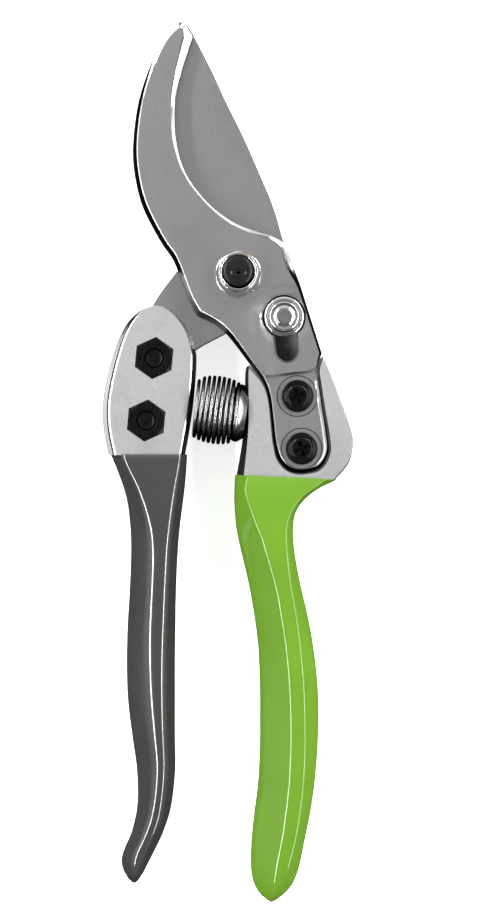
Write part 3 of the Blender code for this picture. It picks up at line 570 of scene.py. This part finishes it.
def make_looks():
    looks = {}
    looks["hook_steel"] = steel_look("hook_steel", (0.62, 0.62, 0.63), 0.30, 0.35)
    looks["blade_steel"] = steel_look("blade_steel", (0.66, 0.665, 0.675), 0.28, -0.35)
    cast = Look("cast_aluminium", (0.68, 0.68, 0.685), 1.0, 0.38)
    grain = cast.noise(2600, detail=6, rough=0.65)
    # painted shade: the cast heads' steep walls are painted dark, down to 24 percent of the colour
    paint_wall_shade(cast, (0.77, 0.77, 0.775), 0.24, 0.05)
    cast.roughness(grain, 0.34, 0.42)
    cast.bump(grain, 0.012, 0.5).bump(cast.noise(300, detail=2), 0.015, 0.35)
    looks["cast_aluminium"] = cast
    for name, colour, vary, rough, waves, shine in (
            ("green_vinyl", (0.096, 0.207, 0.0155), 0.06, (0.07, 0.15), 0.35, 0.36),
            ("gray_vinyl", (0.031, 0.031, 0.032), 0.08, (0.09, 0.16), 0.3, 0.9)):
        vinyl = Look(name, colour, 0.0, 0.2)
        vinyl.colours(vinyl.noise(60, detail=4), *shades(colour, vary))
        vinyl.roughness(vinyl.noise(500, (1, 0.3, 1)), *rough)
        vinyl.bump(vinyl.noise(220, (1, 0.35, 1), detail=2), 0.03, waves)
        vinyl.bump(vinyl.noise(1400, detail=3), 0.004, 0.4)
        vinyl.set(Specular_IOR_Level=shine)
        looks[name] = vinyl
    for name, base, rough, shine in (("black_screw", 0.003, 0.15, 0.15),
                                     ("black_bolt", 0.008, 0.24, 0.25),
                                     ("black_nut", 0.004, 0.22, 0.05)):
        colour = (base, base, base * 1.04)
        look = Look(name, colour, 0.0, rough)
        look.set(Specular_IOR_Level=shine)
        look.colours(look.noise(700, detail=5), *shades(colour, 0.35))
        look.roughness(look.noise(1500, detail=5), rough - 0.04, rough + 0.06)
        look.bump(look.noise(1800, detail=4), 0.002, 0.4)
        looks[name] = look
    black = (0.12, 0.12, 0.123)
    plastic = Look("black_plastic", black, 0.0, 0.45)
    plastic.colours(plastic.noise(400), *shades(black, 0.25))
    plastic.roughness(plastic.noise(1600), 0.36, 0.55)
    plastic.bump(plastic.noise(2200, detail=3), 0.012, 0.5)
    looks["black_plastic"] = plastic
    for name, colour, rough in (("chrome", (0.8, 0.8, 0.81), 0.07),
                                ("zinc_washer", (0.68, 0.69, 0.66), 0.26),
                                ("bronze_bush", (0.5, 0.33, 0.15), 0.34),
                                ("spring_steel", (0.36, 0.36, 0.37), 0.27)):
        look = Look(name, colour, 1.0, rough)
        look.roughness(look.noise(300, detail=3), 0.92 * rough, 1.08 * rough)
        if name != "spring_steel":  # its colour is painted coil shade and highlight, set in make_spring
            look.colours(look.noise(180, detail=4), *shades(colour, 0.04))
        if name in ("zinc_washer", "bronze_bush"):
            look.bump(look.noise(1500, detail=3), 0.0008, 0.3)
        looks[name] = look
    return looks


LOOKS = make_looks()


def dress(item, slot, body, *nodes, sharp=SHARP):
    """Give a finished piece its material, shading and body, and hide the CAD nodes it stands for."""
    item.data.materials.clear()
    item.data.materials.append(LOOKS[slot].made)
    for face in item.data.polygons:
        face.material_index = 0
    item.data.shade_smooth()
    item.data.set_sharp_from_angle(angle=sharp)
    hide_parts(*nodes)
    if body:
        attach(item, body)


def turned(name, profile, slot, body, node, soft, steps, ring=False, at=(0, 0)):
    """A finished lathed piece with softened corners."""
    dress(lathe(name, soften(profile, soft, steps, ring), ring=ring, at=at), slot, body, node)


def plain_ring(name, inner, outer, slot, body, node, soft, steps, at=(0, 0)):
    """A finished flat ring, as tall as the CAD node that it stands for."""
    low, high = span(node, 2)
    profile = [(inner, low), (outer, low), (outer, high), (inner, high)]
    turned(name, profile, slot, body, node, soft, steps, True, at)


# ---- the hook ----
def untangle(points, ring):
    """Where an inset has run past a sharp corner, gather its points at the corner."""
    count = len(points)
    flat = [Vector(point[:2]) for point in points]
    for c in range(count):
        one = (flat[c] - flat[c - 1]).normalized()
        two = (flat[(c + 1) % count] - flat[c]).normalized()
        if one.dot(two) > 0.93:
            continue
        for side in (-1, 1):
            for i in range(6):
                j = (c + side * i) % count
                k = (c + side * (i + 1)) % count
                way = flat[k] - flat[j]
                if (ring[k] - ring[j]).dot(way) > 0.004 * way.length:
                    break
                ring[k] = ring[j] + way.normalized() * 0.006
    return ring


def edge_rings(points, levels):
    """Rings up an edge; levels(point) gives each ring's (distance inwards, z)."""
    ways = inward(points)
    steps = [levels(point) for point in points]
    rings = []
    for level in range(len(steps[0])):
        ring = [Vector(point[:2]) + way * step[level][0]
                for point, way, step in zip(points, ways, steps)]
        rings.append([(at.x, at.y, step[level][1])
                      for at, step in zip(untangle(points, ring), steps)])
    return rings


def mix(one, two, share):
    """Two lists of (distance, z) blended, share 0 giving the first."""
    return [(a[0] + (b[0] - a[0]) * share, a[1] + (b[1] - a[1]) * share)
            for a, b in zip(one, two)]


def ease(value):
    value = min(1.0, max(0.0, value))
    return value * value * (3 - 2 * value)


def hook_levels(point):
    """Edge of the hook: steep wall with a bright rim, shallow bevel, or the tang's edge."""
    x, y, width, steep = point
    low, high = HOOK_Z
    foot = [(0.0, low), (0.0, low + 0.25)]
    top = [(width, high), (width + 0.15, high)]
    wall = foot + [(0.77 * width, high - 0.3), (0.81 * width, high - 0.15),
                   (0.98 * width, high - 0.02)] + top
    bare = foot + [(0.3 * width, low + 1.4), (0.6 * width, high - 1.2),
                   (0.97 * width, high - 0.15)] + top
    ledge = [(0.0, low), (0.0, high - 3.1), (0.05 * width, high - 3.0),
             (0.42 * width, high - 2.86), (0.97 * width, high - 0.15)] + top
    flat = ease((y - 46) / 6) * ease((-13.0 - x) / 1.5)
    notch = 0.6 * ease((width - 0.8) / 0.7) * (1 - flat)
    drop = min(2.3, (0.54 - 0.24 * flat) * width + notch)
    ramp = foot + [(0.05, high - drop - 0.3), (0.14, high - drop),
                   (0.88 * width, high - 0.05 - notch)] + top
    rim = 0.3 + 0.55 * max(0.0, 1 - steep)
    tang = foot + [(width, TANG_Z - 0.55 * rim), (width + 0.1 * rim, TANG_Z - 0.4 * rim),
                   (width + rim, TANG_Z - 0.02), (width + rim + 0.9, high),
                   (width + rim + 1.1, high)]
    kinds = (ramp, wall, bare, ledge, ledge)
    kind = min(3, int(steep))
    edge = mix(kinds[kind], kinds[kind + 1], steep - kind)
    return mix(edge, tang, ease((-23.2 - y) / 3.0))


def slot_outline():
    way = LOCK_SLIDE.normalized()
    across = left_of(way)
    points = []
    for centre, sign in ((LOCK_AT + way * (LOCK_TRAVEL + SLOT_END), 1.0), (LOCK_AT, -1.0)):
        for i in range(25):
            angle = math.pi * (i / 24 - 0.5)
            offset = way * math.cos(angle) + across * math.sin(angle)
            points.append(tuple(centre + offset * SLOT_R * sign))
    return points


# shallow pressed area beside the pivot and round the lock: y, left x, wall width, depth
RECESS = (
    (-2.1, 8.6, 0.6, -0.1), (-3.0, 7.4, 0.8, 0.06), (-4.0, 6.6, 0.9, 0.13),
    (-5.5, 5.4, 0.9, 0.2), (-6.8, 4.2, 0.9, 0.2), (-7.9, 3.0, 0.9, 0.2),
    (-8.3, 3.0, 0.9, 0.2), (-9.2, 4.0, 1.0, 0.2), (-10.2, 4.9, 1.4, 0.19),
    (-11.6, 5.0, 1.8, 0.18), (-14.0, 5.0, 1.9, 0.18), (-17.0, 5.2, 1.9, 0.18),
    (-20.0, 5.8, 2.0, 0.17), (-25.0, 7.0, 2.0, 0.16), (-28.0, 7.4, 2.0, 0.16),
)


def make_recess(high):
    """Cutter for the shallow area; its floor slopes in from the top crease."""
    far, above = 30.0, 0.6
    rings = []
    for y, left, wall, depth in RECESS:
        floor = high - depth
        lean = wall * above / max(depth, 0.16)
        rings.append([(left + wall, y, floor), (far, y, floor), (far, y, high + above),
                      (left - lean, y, high + above)])
    return loft("cut", rings)


def make_hook():
    low, high = HOOK_Z
    points = outline(HOOK_RUNS)
    hook = loft("hook_forged", edge_rings(points, hook_levels))
    bend = ((1.25, TANG_Z), (0.75, TANG_Z + 0.08), (0.35, TANG_Z + 0.4), (0.12, high - 0.12),
            (0.0, high), (-0.3, high + 0.3))
    step = edge_rings(outline(TANG_STEP_RUNS),
                      lambda point: [(share * point[2] / 0.9, z) for share, z in bend])
    cutters = [
        loft("cut", step),
        lathe("cut", [(0, low - 1), (PIVOT_HOLE_R, low - 1), (PIVOT_HOLE_R, high - 0.3),
                      (PIVOT_HOLE_R + 1.3, high + 1.0), (0, high + 1.0)]),
        slab("cut", slot_outline(), (low - 1, high - 0.4)),
        slab("cut", slot_outline(), (high - 0.75, high + 0.5), flare=1.1),
        make_recess(high),
        lathe("cut", [(4.3, high + 0.5), (4.4, high - 0.2), (4.75, high - 1.4),
                      (4.85, high - 1.4), (5.1, high - 0.5), (5.2, high - 0.32),
                      (5.85, high - 0.02), (6.3, high + 0.5)], ring=True, at=LOCK_AT),
    ]
    for at in HOOK_SCREWS:
        cutters.append(lathe("cut", [(0, low - 1), (HOLE_R, low - 1), (HOLE_R, SCREW_SEAT_Z),
                                     (4.75, SCREW_SEAT_Z), (5.0, TANG_Z), (5.9, high + 1),
                                     (0, high + 1)], at=at))
    carve(hook, cutters)
    dress(hook, "hook_steel", "hook_side", "hook_blade")


def make_blade():
    low, high = BLADE_Z

    def levels(point):
        width = point[2]
        ground = 0.25 + 2.35 * ease((width - 0.4) / 1.0)
        return [(width + 0.1, low), (width, low), (0.0, low + ground), (0.0, high - 0.16),
                (0.16, high), (0.3, high)]

    blade = loft("blade_ground", edge_rings(outline(BLADE_RUNS), levels))
    carve(blade, [hole(PIVOT_HOLE_R, BLADE_Z), *(hole(HOLE_R, BLADE_Z, at) for at in BLADE_BOLTS)])
    dress(blade, "blade_steel", "blade_side", "cutting_blade")


# ---- handle heads ----
def head_levels(point):
    """Edge of a cast head: rounded flange with a step inside it, or a plain drafted wall."""
    width, steep = point[2:]
    low, high = HEAD_Z
    lip = 0.24 * max(0.0, min(1.0, 2 + steep))
    wall = width - min(lip + 0.03, 0.5 * width)
    foot = [(0.6 * width, low), (0.3 * width, low + 0.3), (0.0, low + 1.6), (0.0, MID_Z)]
    top = [(width + 0.05, high), (width + 0.2, high)]
    shelf = [(0.55 * width, low), (0.3 * width, low + 0.3), (0.0, low + 2.4), (0.0, high - 2.2),
             (0.05 * width, high - 1.95), (0.55 * width, high - 1.15), (0.69 * width, high - 0.38),
             (0.8 * width, high - 0.12), (0.95 * width, high - 0.02)] + top
    plain = foot + [(0.05 * width, MID_Z + 2.0), (0.1 * width, MID_Z + 3.2),
                    (0.2 * width, high - 0.5), (0.3 * width, high - 0.33),
                    (0.85 * width, high - 0.06)] + top
    flank = foot + [(0.45 * wall, MID_Z + 1.9), (0.75 * wall, MID_Z + 3.2), (wall, high - 0.2),
                    (wall + 0.02, high - 0.15), (width - 0.01, high - 0.01)] + top
    if steep < 0:
        return mix(plain, flank, min(1.0, -steep))
    return mix(plain, shelf, steep)


def grip_rows(stations):
    """The stations with smooth ones added between them."""
    rows = [stations[0]]
    ring = [stations[0], *stations, stations[-1]]
    for i in range(1, len(stations)):
        count = max(1, round(abs(ring[i][0] - ring[i + 1][0]) / GRIP_STEP))
        for k in range(1, count + 1):
            rows.append(spline_point(ring[i - 1], ring[i], ring[i + 1], ring[i + 2], k / count))
    return rows


def grip_section(row, band, shrink=0.0):
    """Closed section: flat band at front and back, sloping flanks, soft corners."""
    y, left, right, half = row
    band_left, band_right, soft = band
    left += shrink
    right -= shrink
    half -= shrink
    band_left = max(band_left, left + 0.12 * (right - left))
    band_right = min(band_right, right - 0.07 * (right - left))
    waist = 0.3 * half
    corners = [(right, -waist), (right, waist), (band_right, half), (band_left, half),
               (left, waist), (left, -waist), (band_left, -half), (band_right, -half)]
    radii = [1.6, 1.6, soft, soft, 1.6, 1.6, 2.2, 2.2]
    made = []
    for i, radius in enumerate(radii):
        after = corners[(i + 1) % len(corners)]
        made += round_corner(corners[i - 1], corners[i], after, radius, 6, limit=0.46)
    return [(point.x, y, MID_Z + point.y) for point in made]


def make_grip(name, stations, bands, slope, slot, body, node):
    rows = grip_rows(stations)
    outer = [grip_section(row, along(bands, row[0])) for row in rows]
    inner = [grip_section(row, along(bands, row[0]), GRIP_WALL)
             for row in rows if row[0] > GRIP_HOLE_END]

    def tilt(ring, share):
        mid = sum(p[0] for p in ring) / len(ring)
        return [(x, y + slope * share * (x - mid), z) for x, y, z in ring]

    top = rows[0][0]
    fade = [max(0.0, 1 - (top - row[0]) / 7.0) for row in rows]
    outer = [tilt(ring, f) for ring, f in zip(outer, fade)]
    inner = [tilt(ring, f) for ring, f in zip(inner, fade)]
    rim = [tilt(grip_section(rows[0], along(bands, rows[0][0]), s), 1.0) for s in (0.15, 1.05)]
    rim = [[(x, y + 0.2, z) for x, y, z in ring] for ring in rim]
    deepest = [(x, y - 1.0, z) for x, y, z in inner[-1]]
    grip = loft(name, outer[::-1] + rim + inner + [deepest])
    dress(grip, slot, body, node, sharp=math.radians(40))


def bar(name, stations, bands, slope, run_up):
    """The cast bar inside a grip; run_up takes it into its head."""
    rows = [row for row in grip_rows(stations) if row[0] > BAR_END]
    rings = [grip_section(row, along(bands, row[0]), BAR_INSET) for row in rows]
    mid = (rows[0][1] + rows[0][2]) / 2
    rings = [[(x, y + slope * (x - mid) * max(0, 1 - i / 4), z) for x, y, z in ring]
             for i, ring in enumerate(rings)]
    above = [(x, y + run_up, z) for x, y, z in rings[0]]
    return loft(name, [above] + rings)


def cast_head(name, runs, foot, stations, bands, slope, run_up):
    """A head and its bar, with no holes yet."""
    head = loft(name, edge_rings(outline(runs), head_levels))
    left, right = foot
    below = [(left[0], FOOT_END), (right[0], FOOT_END), right, left]
    carve(head, [slab("cut", below, (0.0, 20.0))])
    carve(head, [bar("join", stations, bands, slope, run_up)], "UNION")
    return head


def make_left_head():
    head = cast_head("left_head_cast", LEFT_HEAD_RUNS, LEFT_FOOT, LEFT_GRIP, LEFT_BAND, 0.0, 3.0)
    tang = [p for p in outline(BLADE_RUNS, 1.4) if p[1] < 2.0 and p[0] < 0.0]
    cutters = [slab("cut", inset(tang, -0.3, 0.0), (INSIDE_Z[0], HOOK_Z[0]))]
    for at in BLADE_BOLTS:
        cutters.append(prism("cut", HOLE_R, INSIDE_Z, 48, at))
        cutters.append(prism("cut", BLADE_NUT_POCKET_R, (BLADE_NUT_POCKET_Z, INSIDE_Z[1]), 6, at,
                             BLADE_NUT_TURN))
    carve(head, cutters)
    dress(head, "cast_aluminium", "blade_side", "gray_handle_core")


def make_right_head():
    head = cast_head("right_head_cast", RIGHT_HEAD_RUNS, RIGHT_FOOT, RIGHT_GRIP, RIGHT_BAND,
                     GREEN_TILT, 2.5)
    cutters = [slab("cut", outline(HOOK_POCKET_RUNS), (BLADE_Z[1], INSIDE_Z[1]))]
    for at in HOOK_SCREWS:
        cutters.append(prism("cut", HOLE_R, INSIDE_Z, 48, at))
        cutters.append(prism("cut", HOOK_NUT_POCKET_R, (INSIDE_Z[0], HOOK_NUT_POCKET_Z), 6, at,
                             HOOK_NUT_TURN))
    carve(head, cutters)
    dress(head, "cast_aluminium", "hook_side", "green_handle_core")


# ---- screws, bolts, nuts ----
def hex_nut(name, at, turn, body, node):
    low, high = span(node, 2)
    nut = prism(name, NUT_R, (low, high), 6, at, turn)
    flat = NUT_R * math.cos(math.pi / 6)
    cone = lathe("cone", [(0, low - 0.01), (flat * 0.98, low - 0.01), (NUT_R + 0.05, low + 0.45),
                          (NUT_R + 0.05, high - 0.45), (flat * 0.98, high + 0.01),
                          (0, high + 0.01)], at=at)
    carve(nut, [cone], "INTERSECT")
    bore = lathe("bore", [(0, low - 1), (2.9, low - 1), (2.9, low + 0.05), (2.35, low + 0.5),
                          (2.35, high - 0.5), (2.4, high - 0.14), (2.8, high + 0.01),
                          (2.8, high + 1), (0, high + 1)],
                 sides=48, at=at)
    carve(nut, [bore])
    dress(nut, "black_nut", body, node)


def make_screws():
    seat = SCREW_SEAT_Z + 0.3
    profile = soften([(0, seat + 1.6), (2.3, seat + 1.54), (2.65, seat + 1.3),
                      (2.85, seat + 1.28), (3.05, seat + 1.38), (3.25, seat + 1.28),
                      (3.72, seat + 1.24), (3.88, seat + 0.9), (3.88, seat), (2.3, seat),
                      (2.3, 3.2), (0, 3.2)], 0.12, 3)
    for at, which in zip(HOOK_SCREWS, ("upper", "lower")):
        screw = lathe(f"tang_screw_{which}", profile, at=at)
        arms = []
        for i in range(2):
            turn = math.radians(20 + 90 * i)
            way = Vector((math.cos(turn), math.sin(turn)))
            side = left_of(way)
            arms.append(loft("arm", [
                [(*(at + way * a * long + side * b * wide), z)
                 for a, b in ((1, 1), (-1, 1), (-1, -1), (1, -1))]
                for long, wide, z in ((1.1, 0.34, seat + 0.5), (2.1, 0.48, seat + 1.9))]))
        carve(screw, arms)
        dress(screw, "black_screw", "hook_side", f"hook_screw_{which}")
        hex_nut(f"tang_nut_{which}", at, HOOK_NUT_TURN, "hook_side", f"hook_nut_{which}")


def make_bolts():
    for at, which in zip(BLADE_BOLTS, ("upper", "lower")):
        low, high = span(f"blade_bolt_{which}", 2)
        profile = [(0, high - 0.1), (0.7, high - 0.14), (1.2, high - 0.32), (1.45, high - 0.3),
                   (1.85, high - 0.06), (2.0, high - 0.02), (2.1, high - 0.12),
                   (2.25, high - 0.5), (2.25, low + 2.05), (4.25, low + 2.05),
                   (4.25, low + 0.35), (3.9, low), (0, low)]
        bolt = lathe(f"head_bolt_{which}", profile, at=at)
        carve(bolt, [prism("socket", 2.3, (low - 1, low + 1.45), 6, at)])
        dress(bolt, "black_nut", "blade_side", f"blade_bolt_{which}")
        hex_nut(f"head_nut_{which}", at, BLADE_NUT_TURN, "blade_side", f"blade_nut_{which}")
        plain_ring(f"head_washer_{which}", 2.6, 4.7, "zinc_washer", "blade_side",
                   f"blade_washer_{which}", 0.12, 2, at)


# ---- pivot ----
def make_pivot():
    low, high = span("pivot_bolt", 2)
    profile = soften([(0.0, high), (1.6, high - 0.02), (2.7, high - 0.12), (3.3, high - 0.3),
                      (3.65, high - 0.65), (3.75, high - 1.1), (3.75, 2.75), (5.5, 2.75),
                      (5.5, 0.6), (4.9, low), (0, low)], 0.15, 3)
    seat = Vector((-0.1, 0.3))  # off the axis, as the photo shows the bolt's end
    bolt = lathe("pivot_bolt_turned", profile, at=seat)

    def oval(wide, tall, z):
        return [(seat.x + 0.15 + wide * c, seat.y - 0.55 + tall * s, z) for c, s in circle(48)]

    carve(bolt, [loft("nest", [oval(2.1, 0.9, high - 0.7), oval(2.1, 0.9, high + 0.3)])])
    dress(bolt, "black_bolt", "hook_side", "pivot_bolt")
    dish = loft("pivot_bolt_dish", [oval(2.1, 0.9, high - 0.75), oval(2.1, 0.9, high - 0.14)])
    carve(dish, [loft("hollow", [oval(0.45, 0.33, high - 0.7), oval(0.5, 0.36, high - 0.42),
                                 oval(1.2, 0.52, high - 0.4), oval(1.7, 0.7, high - 0.28),
                                 oval(2.0, 0.82, high - 0.12), oval(2.2, 0.9, high + 0.3)])])
    dress(dish, "black_bolt", "hook_side")
    low, high = span("pivot_ring_nut", 2)
    profile = [(3.95, high - 0.4), (4.0, high - 0.12), (4.12, high), (4.55, high - 0.03),
               (4.85, high - 0.4), (4.75, low + 0.5), (4.6, low), (3.95, low)]
    turned("pivot_ring_turned", profile, "chrome", "hook_side", "pivot_ring_nut", 0.1, 3, True)
    low, high = span("pivot_washer_front", 2)
    sink = (0, -0.3)
    washer = prism("pivot_tab_washer", 6.1, (low, high), 6, at=sink, turn=math.radians(90))
    rim = soften([(5.6, low - 0.01), (5.6, high - 0.4), (5.35, high), (5.0, high + 0.01)],
                 0.1, 3)
    cone = lathe("cone", [(0, low - 0.01), *rim, (0, high + 0.01)], at=sink)
    carve(washer, [cone], "INTERSECT")
    turn = math.radians(-38)
    way = Vector((math.cos(turn), math.sin(turn)))
    side = left_of(way)
    tab = slab("tab", [tuple(way * a + side * b) for a, b in
                       ((6.1, -0.7), (6.1, 0.7), (4.8, 0.7), (4.8, -0.7))], (low, high))
    carve(washer, [tab], "UNION")
    carve(washer, [prism("bore", 4.3, (low - 1, high + 1), 72)])
    dress(washer, "chrome", "hook_side", "pivot_washer_front")
    plain_ring("pivot_rear_washer", 4.3, 6.0, "zinc_washer", "hook_side", "pivot_washer_rear", 0.2, 3)
    plain_ring("pivot_bush_turned", 4.3, 4.8, "bronze_bush", "hook_side", "pivot_bush", 0.08, 2)


# ---- lock ----
def make_lock():
    seat, high = span("lock_button", 2)
    profile = [(0, high - 0.06), (1.4, high), (2.0, high - 0.03), (2.25, high - 0.5),
               (2.5, high - 0.72), (3.2, high - 0.52), (3.45, high - 0.6), (3.6, high - 1.0),
               (3.6, seat), (0, seat)]
    turned("lock_button_turned", profile, "chrome", "lock", "lock_button", 0.16, 4, at=LOCK_AT)
    low, high = span("lock_washer", 2)
    profile = [(3.8, low), (4.75, low), (4.75, high - 0.4), (4.6, high - 0.15), (4.05, high),
               (3.85, high - 0.15)]
    turned("lock_ring_turned", profile, "chrome", "lock", "lock_washer", 0.12, 3, True, LOCK_AT)
    low, high = span("lock_pin", 2)
    profile = [(0, high), (2.3, high), (2.3, 3.0), (1.3, 3.0), (1.3, low + 0.15), (1.15, low),
               (0, low)]
    turned("lock_pin_turned", profile, "chrome", "lock", "lock_pin", 0.1, 2, at=LOCK_AT)
    plain_ring("lock_clip_ring", 1.6, 2.6, "zinc_washer", "lock", "lock_circlip", 0.08, 2, LOCK_AT)
    way = LOCK_SLIDE.normalized()
    side = left_of(way)

    def patch(down, long, wide):
        """Corners of a rectangle along the slide, its middle that far down from the button."""
        return [tuple(LOCK_AT + way * (down + a * long) + side * (b * wide))
                for a, b in ((0.5, -0.5), (0.5, 0.5), (-0.5, 0.5), (-0.5, -0.5))]

    corners = soften(patch(3.0, 22.0, 7.8), 1.6, 5, closed=True)
    rings = [inset(corners, distance, z) for distance, z in (
        (0.45, 1.5), (0.12, 1.62), (0.0, 1.85), (0.0, 2.35), (0.12, 2.58), (0.4, 2.7))]
    plate = loft("lock_slide_moulded", rings)
    ridges = []
    for i in range(LOCK_RIDGES):
        bed = patch(5.0 + LOCK_RIDGE_PITCH * i, 0.9, 6.4)
        crest = patch(5.0 + LOCK_RIDGE_PITCH * i, 0.5, 6.0)
        ridges.append(loft("ridge", [[(*p, 0.8) for p in crest], [(*p, 1.1) for p in bed],
                                     [(*p, 1.7) for p in bed]]))
    carve(plate, ridges, "UNION")
    carve(plate, [prism("bore", 1.6, (0, 4), 48, LOCK_AT)])
    dress(plate, "black_plastic", "lock", "lock_slide_plate")


# ---- spring ----
def paint_coil_shade_and_highlight(look, colour, at, way):
    """Painted shade and highlight: the coils' colour is painted dark where they face in towards the
    axis and lighter only where they face out from it and up.
    """
    out = look.vectors("SUBTRACT", look.coords.outputs["Object"], at)
    out = look.vectors("SUBTRACT", out, look.vectors("PROJECT", out, way))
    out = look.vectors("NORMALIZE", out)
    normal = look.coords.outputs["Normal"]
    facing = look.combine("ShaderNodeVectorMath", "DOT_PRODUCT", out, normal)["Value"]
    upper = look.maths("POWER", look.z_of(out), 3.0)
    # painted shade on the inner and lower sides, painted highlight on the outer tops
    look.paint(look.maths("MULTIPLY", facing, upper),
               tinted(colour, ((0.05, 0.03), (0.7, 0.3), (0.98, 0.8))))


def on_barrel(middle_line, across, radius, angle):
    """A point round the spring's axis."""
    return (Vector((middle_line.x, middle_line.y, SPRING_Z + radius * math.sin(angle)))
            + across * (SPRING_WIDE * radius * math.cos(angle)))


def make_spring():
    start, end = SPRING_START, SPRING_END
    way = (end - start).normalized()
    across = Vector((-way.y, way.x, 0))
    axis = Vector((way.x, way.y, 0))
    first = start + way * (SPRING_GAP + WIRE_R)
    length = (end - start).length - 2 * (SPRING_GAP + WIRE_R) - SPRING_SEAT
    count = round(SPRING_TURNS * 64)
    line = []
    for i in range(count + 1):
        t = i / count
        radius = 6.0 + 1.55 * math.sin(math.pi * t) ** 0.45
        line.append(on_barrel(first + way * (length * t), across, radius,
                              2 * math.pi * SPRING_TURNS * t))
    rings = []
    for i, point in enumerate(line):
        tangent = (line[min(i + 1, count)] - line[max(i - 1, 0)]).normalized()
        normal = (axis - tangent * axis.dot(tangent)).normalized()
        other = tangent.cross(normal)
        rings.append([tuple(point + (normal * c + other * s) * WIRE_R) for c, s in circle(18)])
    spring = loft("spring_coil", rings)
    # painted shade and highlight about the coil's axis; the seat cup shares this painted colour
    paint_coil_shade_and_highlight(LOOKS["spring_steel"], (0.45, 0.45, 0.46),
                  (end.x * MM, end.y * MM, SPRING_Z * MM), (way.x, way.y, 0.0))
    dress(spring, "spring_steel", None, "spring", sharp=math.radians(60))
    seat = []
    for back, radius in ((3.2, 5.2), (2.9, 5.9), (2.2, 6.5), (1.4, 6.75), (0.7, 6.55),
                         (0.1, 6.1), (-0.5, 5.7)):
        seat.append([tuple(on_barrel(end - way * back, across, radius, 2 * math.pi * i / ROUND))
                     for i in range(ROUND)])
    dress(loft("spring_seat_cup", seat), "spring_steel", "hook_side")
    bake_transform(spring)


make_hook()
make_blade()
make_left_head()
make_right_head()
make_grip("gray_grip_dipped", LEFT_GRIP, LEFT_BAND, 0.0, "gray_vinyl", "blade_side", "gray_grip")
make_grip("green_grip_dipped", RIGHT_GRIP, RIGHT_BAND, GREEN_TILT, "green_vinyl", "hook_side",
          "green_grip")
make_screws()
make_bolts()
make_pivot()
make_lock()
make_spring()

# ---- floor, backdrop, light, camera ----
CAMERA_HEIGHT = 0.5             # above the plane that the frame size is taken at
FRAME_HEIGHT = 0.2213           # of the picture at that plane
SIGHT_PLANE = 0.012
SIGHT_AT = (0.0004, -0.0451)
FLOOR_Z = -0.0003
FLOOR_HALF = 3000.0             # millimetres, as is the backdrop's radius
BACKDROP_R = 2900.0
SOFTBOX_POWER = 8.2
SOFTBOX_TILT = math.radians(47)


def pale(name, shade, glow):
    look = Look(name, (shade, shade, shade), 0.0, 0.7)
    look.colours(look.noise(6, detail=3), (shade, shade, shade), (shade + 0.01,) * 3)
    look.roughness(look.noise(40), 0.6, 0.8)
    look.set(Emission_Color=(1, 1, 1, 1), Emission_Strength=glow)
    return look.made


def make_stage():
    shape = bmesh.new()
    bmesh.ops.create_grid(shape, x_segments=2, y_segments=2, size=FLOOR_HALF)
    floor = new_object("floor", shape)
    floor.location.z = FLOOR_Z
    floor.data.materials.append(pale("pale_floor", 0.9, 0.75))
    floor.visible_glossy = False
    shape = bmesh.new()
    bmesh.ops.create_uvsphere(shape, u_segments=48, v_segments=24, radius=BACKDROP_R)
    dome = new_object("backdrop", shape)
    dome.data.materials.append(pale("pale_backdrop", 0.9, 1.0))
    for kind in ("visible_glossy", "visible_diffuse", "visible_shadow", "visible_transmission"):
        setattr(dome, kind, False)


def make_light():
    """A studio tent: gray above the camera, bright soft sides, nothing from below."""
    world = bpy.data.worlds.new("studio")
    bpy.context.scene.world = world
    world.use_nodes = True
    tree = world.node_tree
    back = tree.nodes["Background"]
    coords = tree.nodes.new("ShaderNodeTexCoord")
    split = tree.nodes.new("ShaderNodeSeparateXYZ")
    tree.links.new(coords.outputs["Generated"], split.inputs["Vector"])
    rescale = range_node(tree, split.outputs["Z"], -1.0, 1.0, 0.0, 1.0)
    stops = ((0.0, 0.01), (0.45, 0.015), (0.5, 0.1), (0.54, 0.55), (0.66, 1.0), (0.84, 0.8),
             (0.93, 0.3), (1.0, 0.2))
    ramp = ramp_node(tree, [(place, (bright,) * 3) for place, bright in stops])
    tree.links.new(rescale.outputs["Result"], ramp.inputs["Fac"])
    tree.links.new(ramp.outputs["Color"], back.inputs["Color"])
    north = range_node(tree, split.outputs["Y"], -0.65, 0.25, 0.25, 1.3)
    north.interpolation_type = "SMOOTHSTEP"
    tree.links.new(north.outputs["Result"], back.inputs["Strength"])
    for name, side in (("softbox_left", -1), ("softbox_right", 1)):
        data = bpy.data.lights.new(name, "AREA")
        data.shape = "RECTANGLE"
        data.size = 0.05
        data.size_y = 1.3
        data.energy = SOFTBOX_POWER
        lamp = bpy.data.objects.new(name, data)
        lamp.location = (side * 0.45, SIGHT_AT[1] + 0.13, 0.42)
        lamp.rotation_euler = (0, side * SOFTBOX_TILT, 0)
        bpy.context.scene.collection.objects.link(lamp)


def make_camera():
    data = bpy.data.cameras.new("camera")
    data.sensor_fit = "VERTICAL"
    data.sensor_height = 36.0
    data.lens = data.sensor_height * CAMERA_HEIGHT / FRAME_HEIGHT
    data.clip_start = 0.01
    camera = bpy.data.objects.new("camera", data)
    camera.location = (*SIGHT_AT, SIGHT_PLANE + CAMERA_HEIGHT)
    bpy.context.scene.collection.objects.link(camera)
    bpy.context.scene.camera = camera


make_stage()
make_light()
make_camera()
bpy.context.scene.view_settings.view_transform = "Standard"
